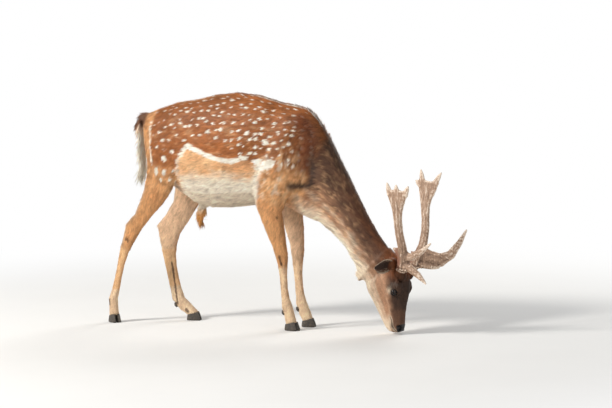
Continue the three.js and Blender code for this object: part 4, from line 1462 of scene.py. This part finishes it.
def antler_relief(h, side):
    """Burr at the base, and furrows and pearls up the beam, in millimetres."""
    base = mirrored(ANTLER_BASE, side)
    near = np.linalg.norm(h - base, axis=1) < 42
    burr = np.exp(-((h[:, 2] - base[2]) / 5) ** 2) * near
    pearls = burr * (2.4 + 2.2 * lumps(h, 6, 41))
    level = ease(12, 36, np.abs(h[:, 0] - 440))
    furrows = 0
    for stretch, share in (((1, 1, 0.2), 1 - level), ((0.3, 1, 0.9), level)):
        furrows += share * (0.6 * lumps(h * stretch, 7, 42) + 0.25 * lumps(h * stretch, 4, 43))
        furrows += share * 0.9 * lumps(h * stretch * (1, 1, 0.6), 13, 45)
    knobs = np.clip(lumps(h, 9, 44) - 0.25, 0, 1) * 1.2 * ease(430, 300, h[:, 2])
    worn = ease(520, 600, h[:, 2])
    return pearls + (furrows * (1 - 0.6 * worn) + knobs) * (1 - burr)


def make_antler(name, sizes):
    """One antler as a single mesh with rounded forks, and where it is hollow, worn and red."""
    side = -1 if name == "right" else 1
    nodes = sorted(n for n in NODES if n.startswith("antler_" + name))
    obj = merged_copy("antlers_" + name, nodes, 0.0004)
    for grain, step in ((1.2, ANTLER_WEB), (1.2, -ANTLER_WEB), (1, 0)):
        mesh = remeshed(obj, sizes.antler_grain * grain)
        web = Web(mesh)
        set_points(mesh, web.smooth(coordinates(mesh), times=14, strength=np.ones(web.size)))
        p, n = coordinates(mesh), normals(mesh)
        set_points(mesh, p + n * (step / 1000))
    h = to_head(to_animal(p))
    relief = antler_relief(h, side)
    p = p + n * (relief / 1000)[:, None]
    set_points(mesh, p)
    hollow = np.sum((web.spread(p, 6) - p) * n, axis=1) * 1000
    foot = np.linalg.norm((h - mirrored(ANTLER_FOOT, side)) * (1, 1, 0.6), axis=1)
    set_value(mesh, "hollow", np.clip(hollow * 1.3 + 0.4, 0, 1))
    set_value(mesh, "worn", ease(300, 580, h[:, 2]) + 0.6 * ease(470, 560, h[:, 0]))
    set_value(mesh, "root", (1 - ease(18, 42, foot)) * ease(0.2, -0.5, n[:, 0]))
    shade_smooth(mesh)
    return obj, nodes


def antler_material():
    make = Maker("antler_bone")
    hollow, worn, root = (make.attribute(name) for name in ("hollow", "worn", "root"))
    furrow = make.noise(make.place((1, 1, 0.16)), 230, 5, 0.65)
    patches = make.noise(make.place(), 30, 3)
    dark = hollow * 1.25 + furrow * 1.1 + patches * 0.6 - worn * 0.2 - 0.74
    stops = [(0.0, tone("polished")), (0.34, tone("bone")),
             (0.66, tone("bone") * 0.62), (1.0, tone("groove"))]
    colour = make.ramp(dark, stops)
    colour = make.mix(root * (furrow * 0.7 + 0.45), colour, tuple(tone("raw")))
    bump = make.bump(furrow, 0.0014, 0.6)
    return make.finish(
        {"Specular IOR Level": 0.4},
        Base_Color=colour, Roughness=0.76 - furrow * 0.3, Normal=bump)


def make_foot(leg, sizes):
    """The two hooves and dewclaws of a leg, with each hoof drawn in to its toe."""
    nodes = sorted(n for n in NODES if n.startswith(leg) and ("hoof" in n or "dewclaw" in n))
    obj = merged_copy("hooves_" + leg, nodes, 0.0)
    mesh = remeshed(obj, sizes.hoof_grain)
    web = Web(mesh)
    p = to_animal(web.smooth(coordinates(mesh), times=10, strength=np.ones(web.size)))
    for node in nodes:
        if "hoof" in node:
            low, high = (to_animal(np.array(corner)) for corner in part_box(node))
            middle = (low + high) / 2
            mine = np.all((p > low - 2) & (p < high + 2), axis=1)
            forward = np.clip((p[mine, 0] - middle[0]) / (high[0] - middle[0]), 0, 1)
            p[mine, 1] = middle[1] + (p[mine, 1] - middle[1]) * (1.04 - 0.38 * forward ** 2)
    p[:, 2] = np.maximum(p[:, 2], 0)
    set_points(mesh, to_row(p))
    shade_smooth(mesh)
    return obj, nodes


def hoof_material():
    make = Maker("hoof_horn")
    rings = make.noise(make.place((0.12, 0.12, 1)), 420, 3)
    scuffs = make.noise(make.place(), 140, 4)
    colour = make.mix(scuffs * scuffs, tuple(tone("horn")), tuple(tone("ash") * 0.5))
    bump = make.bump(rings, 0.0007, 0.5)
    return make.finish(
        {"Specular IOR Level": 0.5},
        Base_Color=colour, Roughness=scuffs * 0.3 + 0.38, Normal=bump)


def make_eye(name, side, sizes):
    """An eyeball whose cornea stands a little proud, facing out along the eye's axis."""
    bm = bmesh.new()
    bmesh.ops.create_uvsphere(bm, u_segments=48, v_segments=32, radius=sizes.eye_radius)
    for vert in bm.verts:
        rise = max(0.0, vert.co.normalized().z - CORNEA_EDGE) / (1 - CORNEA_EDGE)
        vert.co *= 1 + CORNEA_RISE * rise ** 2
    out, slit, across = (turned(axis[None], HEAD_TURN)[0] for axis in eye_axes(side))
    if np.linalg.det(np.stack([slit, across, out])) < 0:
        across = -across
    turn = Matrix(np.stack([slit, across, out], axis=1).tolist()).to_4x4()
    centre = head_spot(mirrored(EYE, side))
    uv = bm.loops.layers.uv.new("iris")
    for face in bm.faces:
        for loop in face.loops:
            loop[uv].uv = (loop.vert.co.x / sizes.eye_radius, loop.vert.co.y / sizes.eye_radius)
    bmesh.ops.transform(bm, matrix=Matrix.Translation(centre) @ turn, verts=bm.verts)
    obj = object_of(bm, "eyeball_" + name)
    shade_smooth(obj.data)
    return obj


def eye_material():
    make = Maker("eye_wet")
    uv = make.node("ShaderNodeUVMap", {"uv_map": "iris"})["UV"]
    long = make.node("ShaderNodeMapping", {}, {"Vector": uv, "Scale": (0.55, 1.3, 1)})["Vector"]
    reach = make.length(long) + make.noise(uv, 14, 3) * 0.06
    stops = [(0.0, (0.002, 0.002, 0.003)), (0.36, (0.003, 0.002, 0.003)), (0.48, (0.040, 0.019, 0.009)),
             (0.8, (0.022, 0.011, 0.007)), (1.0, (0.012, 0.008, 0.007))]
    colour = make.ramp(reach, stops)
    return make.finish({"Specular IOR Level": 0.3}, Base_Color=colour, Roughness=reach * 0.05 + 0.05)


# ---------------------------------------------------------------- stage

FLOOR_SPAN = 60.0
FADE_START, FADE_END = 1.0, 3.0
WORLD_LIGHT = 0.36
LENS = 149.68
AIM = (0.0, 0.0, 0.495)  # in the animal's frame, metres
WHITE = (1.0, 1.0, 1.0)
LIGHT_AIM = (0.05, 0, 0.5)
# Each light's name, place, breadth in metres, power in watts and colour.
LIGHTS = [
    ("key", (-3.6, -4.1, 4.0), 1.4, 380, (1.0, 0.975, 0.94)),
    ("fill", (4.6, -3.4, 2.2), 3.0, 30, WHITE),
    ("rim", (0.6, 4.4, 3.4), 2.6, 110, WHITE),
]


def area_light(name, place, size, power, colour):
    light = bpy.data.lights.new(name, "AREA")
    light.shape = "DISK"
    light.size, light.energy, light.color = size, power, colour
    obj = new_object(name, light)
    obj.location = place
    obj.rotation_euler = (Vector(LIGHT_AIM) - Vector(place)).to_track_quat("-Z", "Y").to_euler()


def seen_directly(make):
    """1 for rays that show the backdrop itself: the camera's, and those that metal or glass turn."""
    path = make.node("ShaderNodeLightPath")
    total = path["Is Camera Ray"]
    for output in ("Is Glossy Ray", "Is Transmission Ray"):
        total = make.node("ShaderNodeMath", {"operation": "MAXIMUM"}, {0: total, 1: path[output]})[0]
    return total


def make_world():
    world = bpy.data.worlds.new("studio")
    world.use_nodes = True
    make = Nodes(world.node_tree)
    back = make.tree.nodes["Background"]
    make.feed(back.inputs["Color"], (0.95, 0.97, 1.0))
    make.feed(back.inputs["Strength"], WORLD_LIGHT)
    white = make.node("ShaderNodeBackground", {}, {"Color": WHITE})[0]
    make.show("World Output", seen_directly(make), back.outputs[0], white)
    bpy.context.scene.world = world


def make_floor():
    """A pale floor that fades into the white backdrop past the deer's shadow."""
    bm = bmesh.new()
    bmesh.ops.create_grid(bm, x_segments=1, y_segments=1, size=FLOOR_SPAN)
    floor = object_of(bm, "studio_floor")
    make = Maker("studio_floor")
    mottle = make.noise(make.place(), 3, 2)
    shade = make.tinted(tuple(tone("floor")), mottle * 0.04 + 0.98)
    make.finish({"Specular IOR Level": 0.1}, Base_Color=shade, Roughness=mottle * 0.1 + 0.8)
    inputs = {"Value": make.length(make.place((1, 0.8, 1))), "From Min": FADE_START, "From Max": FADE_END}
    fade = make.node("ShaderNodeMapRange", {"interpolation_type": "SMOOTHERSTEP"}, inputs).value()
    white = make.node("ShaderNodeEmission", {}, {"Color": WHITE, "Strength": 1.0})[0]
    make.show("Material Output", fade * seen_directly(make), make.shader.outputs[0], white)
    floor.data.materials.append(make.material)


def make_camera(sizes):
    turn, rise = sizes.camera_turn, sizes.camera_rise
    back = Vector((math.sin(turn) * math.cos(rise), -math.cos(turn) * math.cos(rise), math.sin(rise)))
    aim = Vector(AIM) + Vector(ORIGIN)
    camera = bpy.data.cameras.new("camera")
    camera.lens, camera.sensor_width = LENS, 36
    camera.clip_end = 200
    obj = new_object("camera", camera)
    obj.location = aim + back * sizes.camera_distance
    obj.rotation_euler = (-back).to_track_quat("-Z", "Y").to_euler()
    bpy.context.scene.camera = obj


# ---------------------------------------------------------------- operators

class DEER_OT_stage(bpy.types.Operator):
    """Floor, lights and camera"""

    bl_idname = "deer.stage"
    bl_label = "Stage"

    def execute(self, context):
        make_floor()
        make_world()
        for light in LIGHTS:
            area_light(*light)
        make_camera(context.scene.deer_sizes)
        context.scene.view_settings.view_transform = "Standard"
        return {"FINISHED"}


class DEER_OT_skin(bpy.types.Operator):
    """One skin over all the flesh, with its folds, lids and lips"""

    bl_idname = "deer.skin"
    bl_label = "Skin"

    def execute(self, context):
        obj, weights, web = make_skin(context.scene.deer_sizes)
        unwrap(obj)
        learn_skin(obj, weights, web)
        finish_piece(obj, FLESH, skin_material())
        return {"FINISHED"}


class DEER_OT_coat(bpy.types.Operator):
    """Tufts that lie over the skin, region by region"""

    bl_idname = "deer.coat"
    bl_label = "Coat"

    def execute(self, context):
        tufts = Tufts(context.scene.deer_sizes.coat_fullness)
        tufts.shape_by_place()
        tufts.gather_locks()
        tufts.paint()
        tufts.add_lashes(LASHES)
        material = coat_material()
        for name, chosen in coat_pieces(tufts).items():
            mesh = tufts.mesh(name, np.flatnonzero(chosen), *LOOSE_HAIR.get(name, SHORT_HAIR))
            finish_piece(new_object(name, mesh), (), material)
        return {"FINISHED"}


class DEER_OT_antlers(bpy.types.Operator):
    """Both antlers, with burrs and furrows"""

    bl_idname = "deer.antlers"
    bl_label = "Antlers"

    def execute(self, context):
        material = antler_material()
        for name in ("right", "left"):
            obj, nodes = make_antler(name, context.scene.deer_sizes)
            finish_piece(obj, nodes, material)
        return {"FINISHED"}


class DEER_OT_hooves(bpy.types.Operator):
    """Hooves and dewclaws of the four feet"""

    bl_idname = "deer.hooves"
    bl_label = "Hooves"

    def execute(self, context):
        material = hoof_material()
        for leg in LEGS:
            obj, nodes = make_foot(leg, context.scene.deer_sizes)
            finish_piece(obj, nodes, material)
        return {"FINISHED"}


class DEER_OT_eyes(bpy.types.Operator):
    """Both eyeballs"""

    bl_idname = "deer.eyes"
    bl_label = "Eyes"

    def execute(self, context):
        material = eye_material()
        for name, side in (("right", -1), ("left", 1)):
            eyeball = make_eye(name, side, context.scene.deer_sizes)
            finish_piece(eyeball, ["eye_" + name], material)
        return {"FINISHED"}


OPERATORS = (DEER_OT_stage, DEER_OT_skin, DEER_OT_coat, DEER_OT_antlers, DEER_OT_hooves, DEER_OT_eyes)


class DEER_PT_panel(bpy.types.Panel):
    """Lists the deer's pieces in the sidebar"""

    bl_idname = "DEER_PT_panel"
    bl_label = "Fallow Deer"
    bl_space_type = "VIEW_3D"
    bl_region_type = "UI"
    bl_category = "Deer"

    def draw(self, context):
        for operator in OPERATORS:
            self.layout.operator(operator.bl_idname)
        for group in (context.scene.deer_sizes, context.scene.deer_colours):
            for key in group.__annotations__:
                self.layout.prop(group, key)


CLASSES = (DeerColours, DeerSizes, *OPERATORS, DEER_PT_panel)


def register():
    for cls in CLASSES:
        bpy.utils.register_class(cls)
    bpy.types.Scene.deer_colours = PointerProperty(type=DeerColours)
    bpy.types.Scene.deer_sizes = PointerProperty(type=DeerSizes)


def unregister():
    del bpy.types.Scene.deer_sizes
    del bpy.types.Scene.deer_colours
    for cls in reversed(CLASSES):
        bpy.utils.unregister_class(cls)


def main():
    register()
    bpy.ops.deer.stage()
    bpy.ops.deer.skin()
    bpy.ops.deer.coat()
    bpy.ops.deer.antlers()
    bpy.ops.deer.hooves()
    bpy.ops.deer.eyes()


if __name__ == "__main__":
    main()
